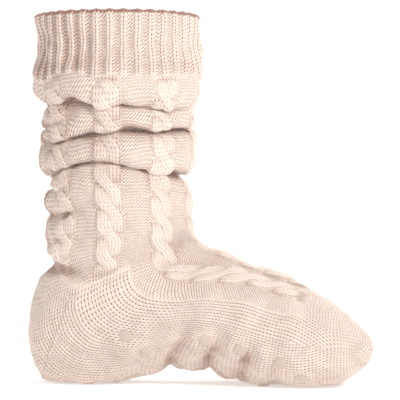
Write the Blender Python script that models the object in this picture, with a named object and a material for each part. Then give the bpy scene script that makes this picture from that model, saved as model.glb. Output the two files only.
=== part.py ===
"""A slouch slipper sock: one knitted wall from ribbed cuff to toe, with grip dots printed under it.

Metres, +Z up, +X towards the toe, -Y the inner side of the foot. The sock stands on its sole.
Run with: blender --background --python part.py
"""

import math

import bmesh
import bpy
import numpy as np
from mathutils import Matrix, Vector
from mathutils.bvhtree import BVHTree

# Driving sizes of the worn sock, outside measure
FOOT_LENGTH = 0.245
SOCK_HEIGHT = 0.258
SHAFT_DEPTH = 0.112
SHAFT_WIDTH = 0.106
SHAFT_CENTRE_FROM_HEEL = 0.064
INSTEP_HEIGHT = 0.099
INSTEP_REACH = 0.119
ANKLE_HEIGHT = 0.116
HEEL_WIDTH = 0.080
BALL_WIDTH = 0.098
TOE_TIP_HEIGHT = 0.026
TOE_INSET = 0.009
ARCH_LIFT = 0.007
SOLE_PRESS = 0.0022
SOLE_ROUNDING = 0.020

# The knit
KNIT_WALL = 0.0024
CUFF_HEIGHT = 0.042
CUFF_STEP = 0.0012
CABLES_AROUND = 8
CABLE_WIDTH = 0.021
CABLE_RISE = 0.0028
CABLE_PUFF = 0.0014
CABLE_CROSSING = 0.023
CABLE_SWELL = 0.0007
INSTEP_CABLE_SHARE = 0.092
INSTEP_CABLES_END = 0.043
CABLE_RUN_OUT = 0.018
HEEL_START_SLANT = 23.5

# The printed grip dots, with the gap that keeps two solids apart
GRIP_DIAMETER = 0.0085
GRIP_FACE_DIAMETER = 0.0068
GRIP_THICKNESS = 0.0012
GRIP_AIM_HEIGHT = 0.030
GRIP_SIDES = 12
SEAT_GAP = 0.0003

# How finely the faceted wall is cut
POINTS_PER_CABLE = 6
CUFF_RINGS = 4
SLOUCH_RINGS = 18
LOWER_LEG_RINGS = 8
HEEL_RINGS = 14
FOOT_RINGS = 12
TOE_RINGS = 6
OUTLINE_POINTS = 240

# The floor is at 0, the dots stand on it and the knit lies on the dots
SOLE_PLANE = GRIP_THICKNESS + SEAT_GAP

KNIT_COLOUR = (0.80, 0.68, 0.60, 1.0)
GRIP_COLOUR = (0.74, 0.66, 0.58, 1.0)

# Level sections of the shaft: height in shares of the leg above the ankle, the rest of the shaft
SHAFT_COLUMNS = ("height", "depth", "width", "forward")
SHAFT_SECTIONS = (
    (1.00, 0.980, 0.980, 0.000),
    (0.84, 0.985, 0.990, 0.000),
    (0.70, 1.005, 1.015, 0.000),
    (0.56, 0.955, 0.965, -0.004),
    (0.41, 0.950, 0.960, 0.000),
    (0.26, 0.905, 0.925, -0.006),
    (0.13, 0.885, 0.890, 0.000),
)

# Sections that turn about the front of the ankle. Back points: x in foot lengths, z in instep heights.
# Front points: x in instep reaches, z in instep heights. Width in heel widths.
HEEL_COLUMNS = ("back_x", "back_z", "front_x", "front_z", "width")
HEEL_SECTIONS = (
    (0.072, 1.180, 0.955, 1.200, 1.170),
    (0.064, 0.980, 0.968, 1.105, 1.120),
    (0.040, 0.750, 0.985, 1.045, 1.070),
    (0.012, 0.510, 1.005, 1.005, 1.030),
    (0.000, 0.315, 1.028, 0.978, 1.005),
    (0.018, 0.140, 1.060, 0.953, 0.990),
    (0.068, 0.028, 1.096, 0.932, 0.980),
    (0.150, 0.000, 1.136, 0.910, 0.985),
    (0.245, 0.014, 1.178, 0.888, 1.000),
)

# Upright sections of the foot: x in shares of the way from instep to toe tip, top in instep
# heights, sole in toe tip heights, width in ball widths, inset in toe insets.
FOOT_COLUMNS = ("sole_x", "sole_z", "top_x", "top_z", "width", "inset", "arch")
FOOT_SECTIONS = (
    (-0.290, 0.200, 0.212, 0.862, 0.815, 0.00, 0.70),
    (-0.110, 0.310, 0.270, 0.832, 0.845, 0.00, 1.00),
    (0.060, 0.280, 0.340, 0.798, 0.885, -0.10, 1.00),
    (0.235, 0.130, 0.425, 0.757, 0.940, -0.20, 0.60),
    (0.405, -0.010, 0.520, 0.710, 0.990, -0.20, 0.15),
    (0.560, -0.040, 0.620, 0.655, 1.000, 0.00, 0.00),
    (0.700, 0.000, 0.722, 0.590, 0.950, 0.30, 0.00),
    (0.815, 0.130, 0.812, 0.520, 0.840, 0.60, 0.00),
    (0.905, 0.340, 0.893, 0.440, 0.670, 0.85, 0.00),
    (0.962, 0.560, 0.953, 0.362, 0.480, 1.00, 0.00),
    (0.990, 0.800, 0.987, 0.306, 0.270, 1.00, 0.00),
    (0.999, 0.940, 0.999, 0.262, 0.090, 1.00, 0.00),
)

# Slouch creases round the shaft. Height in shares of the leg above the ankle, at the inner side.
# Rise to the front, arch and swirl in the same shares. Around in degrees from the front, with the
# inner side at -90, and reach in degrees each way. Depth, spread and tuck in crease sizes.
CREASE_DEPTH = 0.0062
CREASE_HALF_HEIGHT = 0.0042
CREASE_TUCK = 0.0034
CREASE_COLUMNS = ("height", "rise", "arch", "swirl", "around", "reach", "depth", "spread", "tuck")
CREASES = (
    (0.562, -0.022, 0.004, 0.004, -85, 120, 1.05, 0.90, 1.15),
    (0.545, 0.089, 0.000, 0.000, -152, 46, 0.75, 0.80, 0.60),
    (0.414, 0.040, -0.004, 0.008, -65, 150, 1.15, 0.95, 1.10),
    (0.250, -0.006, -0.024, 0.008, -60, 160, 1.25, 0.95, 1.20),
    (0.555, -0.040, 0.000, 0.014, 125, 80, 0.95, 1.10, 0.80),
    (0.435, -0.030, 0.000, 0.012, 100, 85, 0.90, 1.00, 0.90),
    (0.252, 0.010, 0.000, 0.012, 95, 85, 0.95, 1.00, 1.00),
    (0.030, 0.000, 0.000, 0.010, -165, 60, 0.75, 0.95, 0.90),
    (0.140, 0.010, 0.000, 0.010, 60, 70, 0.60, 1.20, 0.60),
    (0.635, 0.100, 0.000, 0.000, 175, 36, 0.85, 1.00, 0.60),
    (0.145, -0.010, 0.000, 0.000, -168, 52, 0.75, 0.80, 0.80),
    (0.215, 0.000, 0.000, 0.000, -178, 30, 0.50, 0.70, 0.40),
)

# Soft puckers of the lower sock: a point in the side view in shares of foot length and instep
# height, the way the trough runs as an angle from +X, its half length and half width in
# pucker sizes, and the side it shows on: -1 the inner side, 1 the outer, 0 both
PUCKER_DEPTH = 0.0034
PUCKER_HALF_LENGTH = 0.020
PUCKER_HALF_WIDTH = 0.0042
PUCKER_COLUMNS = ("at_x", "at_z", "runs", "length", "width", "depth", "side")
PUCKERS = (
    (0.060, 0.860, -14, 1.50, 1.00, 1.15, 0),
    (0.040, 0.985, 6, 0.90, 0.80, 0.80, 0),
    (0.430, 0.170, 62, 0.95, 1.05, 1.15, 0),
    (0.530, 0.150, 66, 0.85, 1.00, 1.05, 0),
    (0.628, 0.120, 70, 0.85, 1.00, 0.90, -1),
    (0.725, 0.130, 78, 0.80, 1.10, 0.50, -1),
    (0.440, 0.960, 64, 0.75, 1.20, 0.70, 0),
)


# Rows of grip dots under the sole, each aimed from inside the foot: lean from straight down in
# degrees (to each side), first and last x in foot lengths, how many
GRIP_COLUMNS = ("lean", "first", "last", "count")
GRIP_ROWS = (
    (0, 0.125, 0.875, 7),
    (31, 0.187, 0.812, 6),
)

# Grip dots that wrap up the sides: x in foot lengths, z in instep heights
SIDE_GRIP_COLUMNS = ("at_x", "at_z")
SIDE_GRIPS = (
    (0.306, 0.360),
    (0.363, 0.250),
    (0.531, 0.330),
    (0.629, 0.270),
    (0.743, 0.185),
    (0.800, 0.080),
)


# The last sections of the foot table, which close the toe
TOE_SECTIONS = 4


def rows_of(columns, table):
    """The rows of a table as dictionaries with named columns."""
    return [dict(zip(columns, row)) for row in table]


def smooth_step(low, high, value):
    """0 below low, 1 above high, with an even S between."""
    share = np.clip((value - low) / (high - low), 0.0, 1.0)
    return share * share * (3.0 - 2.0 * share)


def section(back, front, width, inset=0.0, arch=0.0, top=2.0, bottom=2.0):
    """One section of the last: its two ends in the side view, its width and how square it is."""
    return [*back, *front, width, inset, arch, top, bottom]


def leg_height(share):
    """The height over the floor of a share of the leg above the ankle."""
    return ANKLE_HEIGHT + share * (SOCK_HEIGHT - ANKLE_HEIGHT)


def shaft_sections():
    """The level sections from the rim down to the ankle."""
    found = []
    for row in rows_of(SHAFT_COLUMNS, SHAFT_SECTIONS):
        middle = SHAFT_CENTRE_FROM_HEEL + row["forward"] * SHAFT_DEPTH
        half = row["depth"] * SHAFT_DEPTH / 2
        height = leg_height(row["height"])
        back, front = (middle - half, height), (middle + half, height)
        found.append(section(back, front, row["width"] * SHAFT_WIDTH))
    return found


def heel_sections():
    """The sections that swing from level to upright round the heel."""
    found = []
    rows = rows_of(HEEL_COLUMNS, HEEL_SECTIONS)
    for place, row in enumerate(rows):
        turned = place / (len(rows) - 1)
        back = (row["back_x"] * FOOT_LENGTH, SOLE_PLANE + row["back_z"] * INSTEP_HEIGHT)
        front = (row["front_x"] * INSTEP_REACH, SOLE_PLANE + row["front_z"] * INSTEP_HEIGHT)
        bottom = 2.0 + 0.7 * turned
        found.append(section(back, front, row["width"] * HEEL_WIDTH, bottom=bottom))
    return found


def foot_sections():
    """The upright sections from the waist of the foot to the toe tip."""
    found = []
    forefoot = FOOT_LENGTH - INSTEP_REACH
    for row in rows_of(FOOT_COLUMNS, FOOT_SECTIONS):
        sole = (
            INSTEP_REACH + row["sole_x"] * forefoot,
            SOLE_PLANE + row["sole_z"] * TOE_TIP_HEIGHT,
        )
        top = (
            INSTEP_REACH + row["top_x"] * forefoot,
            SOLE_PLANE + row["top_z"] * INSTEP_HEIGHT,
        )
        width = row["width"] * BALL_WIDTH
        inset = -row["inset"] * TOE_INSET
        found.append(section(sole, top, width, inset, row["arch"], 2.0, 2.7))
    return found


def spread_rings(sections):
    """Section values at every ring, through smooth curves over the section tables."""
    table = np.array(sections)
    backs, fronts = table[:, 0:2], table[:, 2:4]
    steps = np.linalg.norm(np.diff((backs + fronts) / 2, axis=0), axis=1)
    steps += np.linalg.norm(np.diff(backs, axis=0), axis=1)
    knots = np.concatenate([[0.0], np.cumsum(steps)])
    slopes = np.gradient(table, knots, axis=0)

    def values(at):
        i = np.clip(np.searchsorted(knots, at, side="right") - 1, 0, len(knots) - 2)
        span = (knots[i + 1] - knots[i])[:, None]
        t = ((at - knots[i]) / span[:, 0])[:, None]
        return (
            (2 * t**3 - 3 * t**2 + 1) * table[i]
            + (t**3 - 2 * t**2 + t) * span * slopes[i]
            + (-2 * t**3 + 3 * t**2) * table[i + 1]
            + (t**3 - t**2) * span * slopes[i + 1]
        )

    shaft_end = len(SHAFT_SECTIONS)
    cuff_end = np.interp(CUFF_HEIGHT, SOCK_HEIGHT - table[:shaft_end, 1], knots[:shaft_end])
    slouch_end = knots[shaft_end - 2]
    heel_end = knots[shaft_end + len(HEEL_SECTIONS) - 1]
    toe_start = knots[-1 - TOE_SECTIONS]
    zones = (
        (knots[0], cuff_end, CUFF_RINGS),
        (cuff_end, slouch_end, SLOUCH_RINGS),
        (slouch_end, knots[shaft_end], LOWER_LEG_RINGS),
        (knots[shaft_end], heel_end, HEEL_RINGS),
        (heel_end, toe_start, FOOT_RINGS),
        (toe_start, knots[-1], TOE_RINGS),
    )
    stops = [np.linspace(low, high, count, endpoint=False) for low, high, count in zones]
    return values(np.concatenate([*stops, [knots[-1]]]))


def column_shares(turn):
    """Where each wale column lies round a ring, as a share of its girth from the front.

    The cables keep to the same columns. They stand evenly round the leg (turn 0) and close up
    over the instep (turn 1)."""
    within = np.array([0.0, 0.13, 0.26, 0.5, 0.74, 0.87])
    pitch = 1.0 / CABLES_AROUND
    even = ((np.arange(CABLES_AROUND)[:, None] + within) * pitch).ravel()
    leg = (0.0, pitch, 0.25, 0.5, 0.75, 1.0 - pitch, 1.0)
    foot = (0.0, INSTEP_CABLE_SHARE, 0.25, 0.5, 0.75, 1.0 - INSTEP_CABLE_SHARE, 1.0)
    return even + turn * (np.interp(even, leg, foot) - even)


def ring(values, turn):
    """One ring of points: front of the ring first, then round by the outer side."""
    back, front = values[0:2], values[2:4]
    width, inset, arch, top, bottom = values[4:9]
    angle = np.linspace(0.0, 2 * math.pi, OUTLINE_POINTS + 1)
    along, across = np.cos(angle), np.sin(angle)
    power = np.where(along > 0, 2.0 / top, 2.0 / bottom)
    along = np.sign(along) * np.abs(along) ** power
    across = np.sign(across) * np.abs(across) ** power
    middle, half = (back + front) / 2, (front - back) / 2
    outline = np.empty((len(angle), 3))
    outline[:, 0] = middle[0] + half[0] * along
    outline[:, 1] = inset + width / 2 * across
    outline[:, 2] = middle[1] + half[1] * along
    inner_side = np.clip(0.25 - across, 0.0, 1.25) / 1.25
    outline[:, 2] += arch * ARCH_LIFT * inner_side * (1.0 - smooth_step(-0.75, 0.35, along))
    steps = np.linalg.norm(np.diff(outline, axis=0), axis=1)
    girth = np.concatenate([[0.0], np.cumsum(steps)])
    at = column_shares(turn) * girth[-1]
    return np.stack([np.interp(at, girth, outline[:, k]) for k in range(3)], axis=1)


def outward(grid):
    """The outward direction at each point of the rings."""
    along = np.gradient(grid, axis=0)
    around = np.roll(grid, -1, axis=1) - np.roll(grid, 1, axis=1)
    normals = np.cross(along, around)
    lengths = np.linalg.norm(normals, axis=2, keepdims=True)
    return normals / np.maximum(lengths, 1e-9)


def crease_offsets(grid):
    """How far the slouch creases press the shaft in, and how far the roll above hangs down."""
    height = (grid[:, :, 2] - ANKLE_HEIGHT) / (SOCK_HEIGHT - ANKLE_HEIGHT)
    size = SOCK_HEIGHT - ANKLE_HEIGHT
    around = np.degrees(np.arctan2(grid[:, :, 1], grid[:, :, 0] - SHAFT_CENTRE_FROM_HEEL))
    press, drop = np.zeros(height.shape), np.zeros(height.shape)
    for row in rows_of(CREASE_COLUMNS, CREASES):
        away = (around - row["around"] + 180.0) % 360.0 - 180.0
        window = 1.0 - smooth_step(0.45, 1.0, np.abs(away) / row["reach"])
        middle = (
            row["height"]
            + row["rise"] * np.cos(np.radians(around))
            + row["arch"] * np.cos(np.radians(2 * around))
            + row["swirl"] * np.sin(np.radians(3 * around + 40 * row["depth"]))
        )
        off = (height - middle) * size / (CREASE_HALF_HEIGHT * row["spread"])
        press += row["depth"] * CREASE_DEPTH * window * np.exp(-0.5 * off**2)
        drop += row["tuck"] * CREASE_TUCK * window * np.exp(-0.5 * (off - 1.5) ** 2)
    return press, drop


def pucker_offsets(grid):
    """How far the soft puckers at heel, arch and ankle press in."""
    press = np.zeros(grid.shape[:2])
    for row in rows_of(PUCKER_COLUMNS, PUCKERS):
        turn = math.radians(row["runs"])
        x = grid[:, :, 0] - row["at_x"] * FOOT_LENGTH
        z = grid[:, :, 2] - row["at_z"] * INSTEP_HEIGHT
        along = (x * math.cos(turn) + z * math.sin(turn)) / (row["length"] * PUCKER_HALF_LENGTH)
        across = (z * math.cos(turn) - x * math.sin(turn)) / (row["width"] * PUCKER_HALF_WIDTH)
        shown = 1.0
        if row["side"]:
            shown = smooth_step(-0.1, 0.5, row["side"] * grid[:, :, 1] / (HEEL_WIDTH / 2))
        press += row["depth"] * PUCKER_DEPTH * shown * np.exp(-0.5 * (along**2 + across**2))
    return press


def cable_strips(grid, slant):
    """1 on the cabled strips, 0 between them, and how far the cables swell at each crossing.

    Five cables end where the heel starts. The three over the instep run on to the toes."""
    steps = np.linalg.norm(np.diff(grid, axis=0), axis=2)
    down = np.concatenate([np.zeros((1, grid.shape[1])), np.cumsum(steps, axis=0)])
    swell = CABLE_SWELL * np.cos(2 * math.pi * down / CABLE_CROSSING)
    around = np.linalg.norm(np.roll(grid, -1, axis=1) - grid, axis=2)
    girth = np.cumsum(around, axis=1) - around
    total = around.sum(axis=1, keepdims=True)
    strips = np.zeros(grid.shape[:2])
    cuff_edge = SOCK_HEIGHT - CUFF_HEIGHT
    below_cuff = 1.0 - smooth_step(cuff_edge - CABLE_RUN_OUT, cuff_edge, grid[:, :, 2])
    heel_start = np.radians(HEEL_START_SLANT)
    over_heel = (1.0 - smooth_step(0.85 * heel_start, 1.15 * heel_start, slant))[:, None]
    toe_start = FOOT_LENGTH - INSTEP_CABLES_END
    over_foot = 1.0 - smooth_step(toe_start - CABLE_RUN_OUT, toe_start, grid[:, :, 0])
    for number in range(CABLES_AROUND):
        column = number * POINTS_PER_CABLE
        away = np.abs(girth - girth[:, column : column + 1])
        away = np.minimum(away, total - away)
        strip = 1.0 - smooth_step(CABLE_WIDTH / 4, CABLE_WIDTH / 2, away)
        over_instep = number in (0, 1, CABLES_AROUND - 1)
        strips += strip * below_cuff * (over_foot if over_instep else over_heel)
    return strips, strips * swell


def wall_faces():
    """The outer and inner faces of the knitted wall as rings of points."""
    values = spread_rings(shaft_sections() + heel_sections() + foot_sections())
    slant = np.arctan2(values[:, 3] - values[:, 1], values[:, 2] - values[:, 0])
    turns = smooth_step(0.0, math.radians(75), slant)
    grid = np.array([ring(row, turn) for row, turn in zip(values, turns)])
    normals = outward(grid)
    press, drop = crease_offsets(grid)
    press = press + pucker_offsets(grid)
    cuff_edge = SOCK_HEIGHT - CUFF_HEIGHT
    cuff = smooth_step(cuff_edge - CUFF_STEP, cuff_edge + CUFF_STEP, grid[:, :, 2])
    strips, swell = cable_strips(grid, slant)
    rise = CABLE_RISE * strips + swell + CUFF_STEP * cuff

    def face(lift, floor):
        moved = grid + normals * lift[:, :, None]
        moved[:, :, 2] -= drop
        pressed = SOLE_PRESS * (1.0 - smooth_step(0.0, SOLE_ROUNDING, grid[:, :, 2]))
        moved[:, :, 2] = np.maximum(moved[:, :, 2] - pressed, floor)
        return moved

    outer = face(rise - press, SOLE_PLANE)
    hollow = CABLE_PUFF * strips + CUFF_STEP * cuff - KNIT_WALL
    inner = face(hollow - press, SOLE_PLANE + KNIT_WALL)[:-2, ::2]
    outer[0, :, 2] = SOCK_HEIGHT
    inner[0, :, 2] = SOCK_HEIGHT
    return outer, inner


def skin(shape, grid):
    """Rings of points joined by faces, closed by a fan at the toe tip."""
    points = [[shape.verts.new(point) for point in row] for row in grid.tolist()]
    for upper, lower in zip(points, points[1:]):
        for k in range(len(upper)):
            after = (k + 1) % len(upper)
            shape.faces.new((upper[k], lower[k], lower[after], upper[after]))
    tip = shape.verts.new(grid[-1].mean(axis=0).tolist())
    for k in range(len(points[-1])):
        shape.faces.new((points[-1][(k + 1) % len(points[-1])], points[-1][k], tip))
    return points[0]


def knitted_sock():
    """The whole knit as one hollow wall, open at the collar."""
    outer, inner = wall_faces()
    shape = bmesh.new()
    outer_rim = skin(shape, outer)
    inner_rim = skin(shape, inner)
    count = len(outer_rim)
    for k in range(len(inner_rim)):
        after = inner_rim[(k + 1) % len(inner_rim)]
        middle = outer_rim[2 * k + 1]
        shape.faces.new((outer_rim[2 * k], middle, inner_rim[k]))
        shape.faces.new((middle, after, inner_rim[k]))
        shape.faces.new((middle, outer_rim[(2 * k + 2) % count], after))
    bmesh.ops.triangulate(shape, faces=shape.faces)
    bmesh.ops.recalc_face_normals(shape, faces=shape.faces)
    mesh = bpy.data.meshes.new("knit_body")
    shape.to_mesh(mesh)
    shape.free()
    mesh.shade_smooth()
    return mesh


def seat_on(sole, point, normal):
    """Where the middle of a dot's top goes so that the whole top just clears the sole."""
    side = normal.orthogonal().normalized()
    depth = 0.0
    for k in range(GRIP_SIDES):
        turn = Matrix.Rotation(2 * math.pi * k / GRIP_SIDES, 3, normal)
        for reach in (0.5, 1.0):
            edge = point + turn @ side * (reach * GRIP_DIAMETER / 2)
            distance = sole.ray_cast(edge + normal * KNIT_WALL * 5, -normal, KNIT_WALL * 10)[3]
            if distance is not None:
                depth = max(depth, KNIT_WALL * 5 - distance)
    return point + normal * (SEAT_GAP + depth)


def grip_button():
    """The one mesh of all the dots: a low round button that hangs from its seat along -Z."""
    shape = bmesh.new()
    bmesh.ops.create_cone(
        shape,
        cap_ends=True,
        segments=GRIP_SIDES,
        radius1=GRIP_FACE_DIAMETER / 2,
        radius2=GRIP_DIAMETER / 2,
        depth=GRIP_THICKNESS,
        matrix=Matrix.Translation((0.0, 0.0, -GRIP_THICKNESS / 2)),
    )
    mesh = bpy.data.meshes.new("grip_button")
    shape.to_mesh(mesh)
    shape.free()
    return mesh


def grip_aims():
    """A point well outside the sock for each dot, and the way from it to the foot."""
    aims = []
    for row in rows_of(GRIP_COLUMNS, GRIP_ROWS):
        sides = (-1, 1) if row["lean"] else (0,)
        for x in np.linspace(row["first"], row["last"], row["count"]).tolist():
            for side in sides:
                lean = math.radians(row["lean"]) * side
                way = Vector((0.0, -math.sin(lean), math.cos(lean)))
                inside = Vector((x * FOOT_LENGTH, 0.0, GRIP_AIM_HEIGHT))
                aims.append((inside - way * FOOT_LENGTH, way))
    for row in rows_of(SIDE_GRIP_COLUMNS, SIDE_GRIPS):
        for side in (-1, 1):
            at_x, at_z = row["at_x"] * FOOT_LENGTH, row["at_z"] * INSTEP_HEIGHT
            aims.append((Vector((at_x, side * FOOT_LENGTH, at_z)), Vector((0.0, -side, 0.0))))
    return aims


def grip_seats(sole):
    """The seat of each dot and the way it faces. A dot that tilts into the floor lies flat."""
    down = Vector((0.0, 0.0, -1.0))
    seats = []
    for start, way in grip_aims():
        point, normal = sole.ray_cast(start, way)[:2]
        seat = seat_on(sole, point, normal)
        tilt = math.sqrt(max(0.0, 1.0 - normal.z**2))
        lowest = seat.z + GRIP_THICKNESS * normal.z - GRIP_FACE_DIAMETER / 2 * tilt
        if lowest < SEAT_GAP:
            normal = down
            seat = seat_on(sole, point, normal)
        seats.append((seat, normal))
    return seats


def plain_material(name, colour, roughness):
    """A plain material of one colour."""
    material = bpy.data.materials.new(name)
    material.use_nodes = True
    shader = material.node_tree.nodes["Principled BSDF"]
    shader.inputs["Base Color"].default_value = colour
    shader.inputs["Roughness"].default_value = roughness
    return material


def place(name, mesh, collection, frame):
    """A named object for a mesh, under the shared frame."""
    part = bpy.data.objects.new(name, mesh)
    part.parent = frame
    collection.objects.link(part)
    return part


def main():
    """Builds the sock with the middle of its footprint over the origin."""
    for old in list(bpy.data.objects):
        bpy.data.objects.remove(old, do_unlink=True)
    parts = bpy.data.collections.new("slipper_sock")
    bpy.context.scene.collection.children.link(parts)

    body = knitted_sock()
    body.materials.append(plain_material("brushed_yarn", KNIT_COLOUR, 0.9))
    points = [vertex.co for vertex in body.vertices]
    middle_x = (min(p.x for p in points) + max(p.x for p in points)) / 2
    middle_y = (min(p.y for p in points) + max(p.y for p in points)) / 2
    frame = bpy.data.objects.new("frame", None)
    frame.location = (-middle_x, -middle_y, 0.0)
    parts.objects.link(frame)
    place("knit_body", body, parts, frame)

    button = grip_button()
    button.materials.append(plain_material("grip_silicone", GRIP_COLOUR, 0.45))
    sole = BVHTree.FromPolygons(points, [tuple(face.vertices) for face in body.polygons])
    for number, (seat, normal) in enumerate(grip_seats(sole), start=1):
        dot = place(f"grip_dot_{number:02d}", button, parts, frame)
        dot.location = seat
        dot.rotation_euler = (-normal).to_track_quat("Z", "Y").to_euler()


main()
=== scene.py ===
# %% [markdown]
# A slouch slipper sock, knitted in one piece from the ribbed cuff down to the toe. The whole
# look of such a sock is its surface: ribs, cables, purl ground and plain stitches on a soft tube.
# We load the solid model first, because every piece has to lie where the solid one lies.

# %% Load the frame
import math

import bpy
import numpy as np
from mathutils import Matrix, Vector


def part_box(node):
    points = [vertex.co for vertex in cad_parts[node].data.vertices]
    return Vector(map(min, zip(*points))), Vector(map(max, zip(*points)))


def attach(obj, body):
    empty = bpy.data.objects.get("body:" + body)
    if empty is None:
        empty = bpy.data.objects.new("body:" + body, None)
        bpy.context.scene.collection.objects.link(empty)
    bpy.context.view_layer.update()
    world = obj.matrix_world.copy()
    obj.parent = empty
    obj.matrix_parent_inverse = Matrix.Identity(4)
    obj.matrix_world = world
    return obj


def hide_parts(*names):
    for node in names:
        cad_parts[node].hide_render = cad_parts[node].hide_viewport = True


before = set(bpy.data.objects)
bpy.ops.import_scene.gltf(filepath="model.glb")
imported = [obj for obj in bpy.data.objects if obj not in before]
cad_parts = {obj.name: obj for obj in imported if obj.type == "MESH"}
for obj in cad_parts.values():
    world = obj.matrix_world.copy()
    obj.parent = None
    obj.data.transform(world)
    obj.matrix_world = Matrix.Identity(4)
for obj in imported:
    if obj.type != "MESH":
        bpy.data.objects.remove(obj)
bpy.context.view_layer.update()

KNIT_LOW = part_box("knit_body")[0]

# %% [markdown]
# The sock is described by a few real sizes. They are the same ones that the solid model uses, so
# the soft surface made here wraps the solid one without any fitting. Lengths are in metres.

# %% Sizes of the sock
FOOT_LENGTH = 0.245
SOCK_HEIGHT = 0.258
SHAFT_DEPTH = 0.112
SHAFT_WIDTH = 0.106
SHAFT_CENTRE_FROM_HEEL = 0.064
INSTEP_HEIGHT = 0.099
INSTEP_REACH = 0.119
ANKLE_HEIGHT = 0.116
HEEL_WIDTH = 0.080
BALL_WIDTH = 0.098
TOE_TIP_HEIGHT = 0.026
TOE_INSET = 0.009
ARCH_LIFT = 0.007
SOLE_PRESS = 0.0022
SOLE_ROUNDING = 0.020
SOLE_PLANE = 0.0015
KNIT_WALL = 0.0024
CUFF_HEIGHT = 0.042
CUFF_STEP = 0.0012
print("foot", FOOT_LENGTH, "height", SOCK_HEIGHT)

# %% [markdown]
# A sock is a bent tube, so it is drawn as a stack of cross sections. On the shaft they lie level,
# round the heel they swing like the pages of a book that opens at the ankle, and along the foot
# they stand upright. Each row of a table is one section, in shares of the sizes above.

# %% The sections of the last
SHAFT_COLUMNS = ("height", "depth", "width", "forward")
SHAFT_SECTIONS = (
    (1.00, 0.980, 0.980, 0.000),
    (0.84, 0.985, 0.990, 0.000),
    (0.70, 1.005, 1.015, 0.000),
    (0.56, 0.955, 0.965, -0.004),
    (0.41, 0.950, 0.960, 0.000),
    (0.26, 0.905, 0.925, -0.006),
    (0.13, 0.885, 0.890, 0.000),
)
HEEL_COLUMNS = ("back_x", "back_z", "front_x", "front_z", "width")
HEEL_SECTIONS = (
    (0.072, 1.180, 0.955, 1.200, 1.170),
    (0.064, 0.980, 0.968, 1.105, 1.120),
    (0.040, 0.750, 0.985, 1.045, 1.070),
    (0.012, 0.510, 1.005, 1.005, 1.030),
    (0.000, 0.315, 1.028, 0.978, 1.005),
    (0.018, 0.140, 1.060, 0.953, 0.990),
    (0.068, 0.028, 1.096, 0.932, 0.980),
    (0.150, 0.000, 1.136, 0.910, 0.985),
    (0.245, 0.014, 1.178, 0.888, 1.000),
)
FOOT_COLUMNS = ("sole_x", "sole_z", "top_x", "top_z", "width", "inset", "arch")
FOOT_SECTIONS = (
    (-0.290, 0.200, 0.212, 0.862, 0.815, 0.00, 0.70),
    (-0.110, 0.310, 0.270, 0.832, 0.845, 0.00, 1.00),
    (0.060, 0.280, 0.340, 0.798, 0.885, -0.10, 1.00),
    (0.235, 0.130, 0.425, 0.757, 0.940, -0.20, 0.60),
    (0.405, -0.010, 0.520, 0.710, 0.990, -0.20, 0.15),
    (0.560, -0.040, 0.620, 0.655, 1.000, 0.00, 0.00),
    (0.700, 0.000, 0.722, 0.590, 0.950, 0.30, 0.00),
    (0.815, 0.130, 0.812, 0.520, 0.840, 0.60, 0.00),
    (0.905, 0.340, 0.893, 0.440, 0.670, 0.85, 0.00),
    (0.962, 0.560, 0.953, 0.362, 0.480, 1.00, 0.00),
    (0.990, 0.800, 0.987, 0.306, 0.270, 1.00, 0.00),
    (0.999, 0.940, 0.999, 0.262, 0.090, 1.00, 0.00),
)
TOE_SECTIONS = 4
ROUND, SQUARISH = 2.0, 2.7


def rows_of(columns, table):
    """The rows of a table as dictionaries with named columns."""
    return [dict(zip(columns, row)) for row in table]


def smooth_step(low, high, value):
    """0 below low, 1 above high, with an even S between."""
    share = np.clip((value - low) / (high - low), 0.0, 1.0)
    return share * share * (3.0 - 2.0 * share)


def section_table():
    """All sections from rim to toe: back x z, front x z, width, inset, arch, squareness twice."""
    found = []
    for row in rows_of(SHAFT_COLUMNS, SHAFT_SECTIONS):
        middle = SHAFT_CENTRE_FROM_HEEL + row["forward"] * SHAFT_DEPTH
        half = row["depth"] * SHAFT_DEPTH / 2
        height = ANKLE_HEIGHT + row["height"] * (SOCK_HEIGHT - ANKLE_HEIGHT)
        width = row["width"] * SHAFT_WIDTH
        found.append([middle - half, height, middle + half, height, width, 0.0, 0.0, ROUND, ROUND])
    soles = np.linspace(ROUND, SQUARISH, len(HEEL_SECTIONS))
    for row, sole in zip(rows_of(HEEL_COLUMNS, HEEL_SECTIONS), soles):
        back = [row["back_x"] * FOOT_LENGTH, SOLE_PLANE + row["back_z"] * INSTEP_HEIGHT]
        front = [row["front_x"] * INSTEP_REACH, SOLE_PLANE + row["front_z"] * INSTEP_HEIGHT]
        found.append([*back, *front, row["width"] * HEEL_WIDTH, 0.0, 0.0, ROUND, sole])
    forefoot = FOOT_LENGTH - INSTEP_REACH
    for row in rows_of(FOOT_COLUMNS, FOOT_SECTIONS):
        sole_x = INSTEP_REACH + row["sole_x"] * forefoot
        top_x = INSTEP_REACH + row["top_x"] * forefoot
        sole_z = SOLE_PLANE + row["sole_z"] * TOE_TIP_HEIGHT
        top_z = SOLE_PLANE + row["top_z"] * INSTEP_HEIGHT
        width = row["width"] * BALL_WIDTH
        inset = -row["inset"] * TOE_INSET
        found.append([sole_x, sole_z, top_x, top_z, width, inset, row["arch"], ROUND, SQUARISH])
    return np.array(found)


SECTIONS = section_table()
print("sections:", len(SECTIONS))

# %% [markdown] Knitting gives the grid for free. A column of stitches is called a wale and a
# row is called a course. This sock has 144 wales, 18 for each cable with its share of the
# ground. Every wale gets four points across and every course about three rings of points, so
# each stitch can be a real bump in the mesh.

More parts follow.
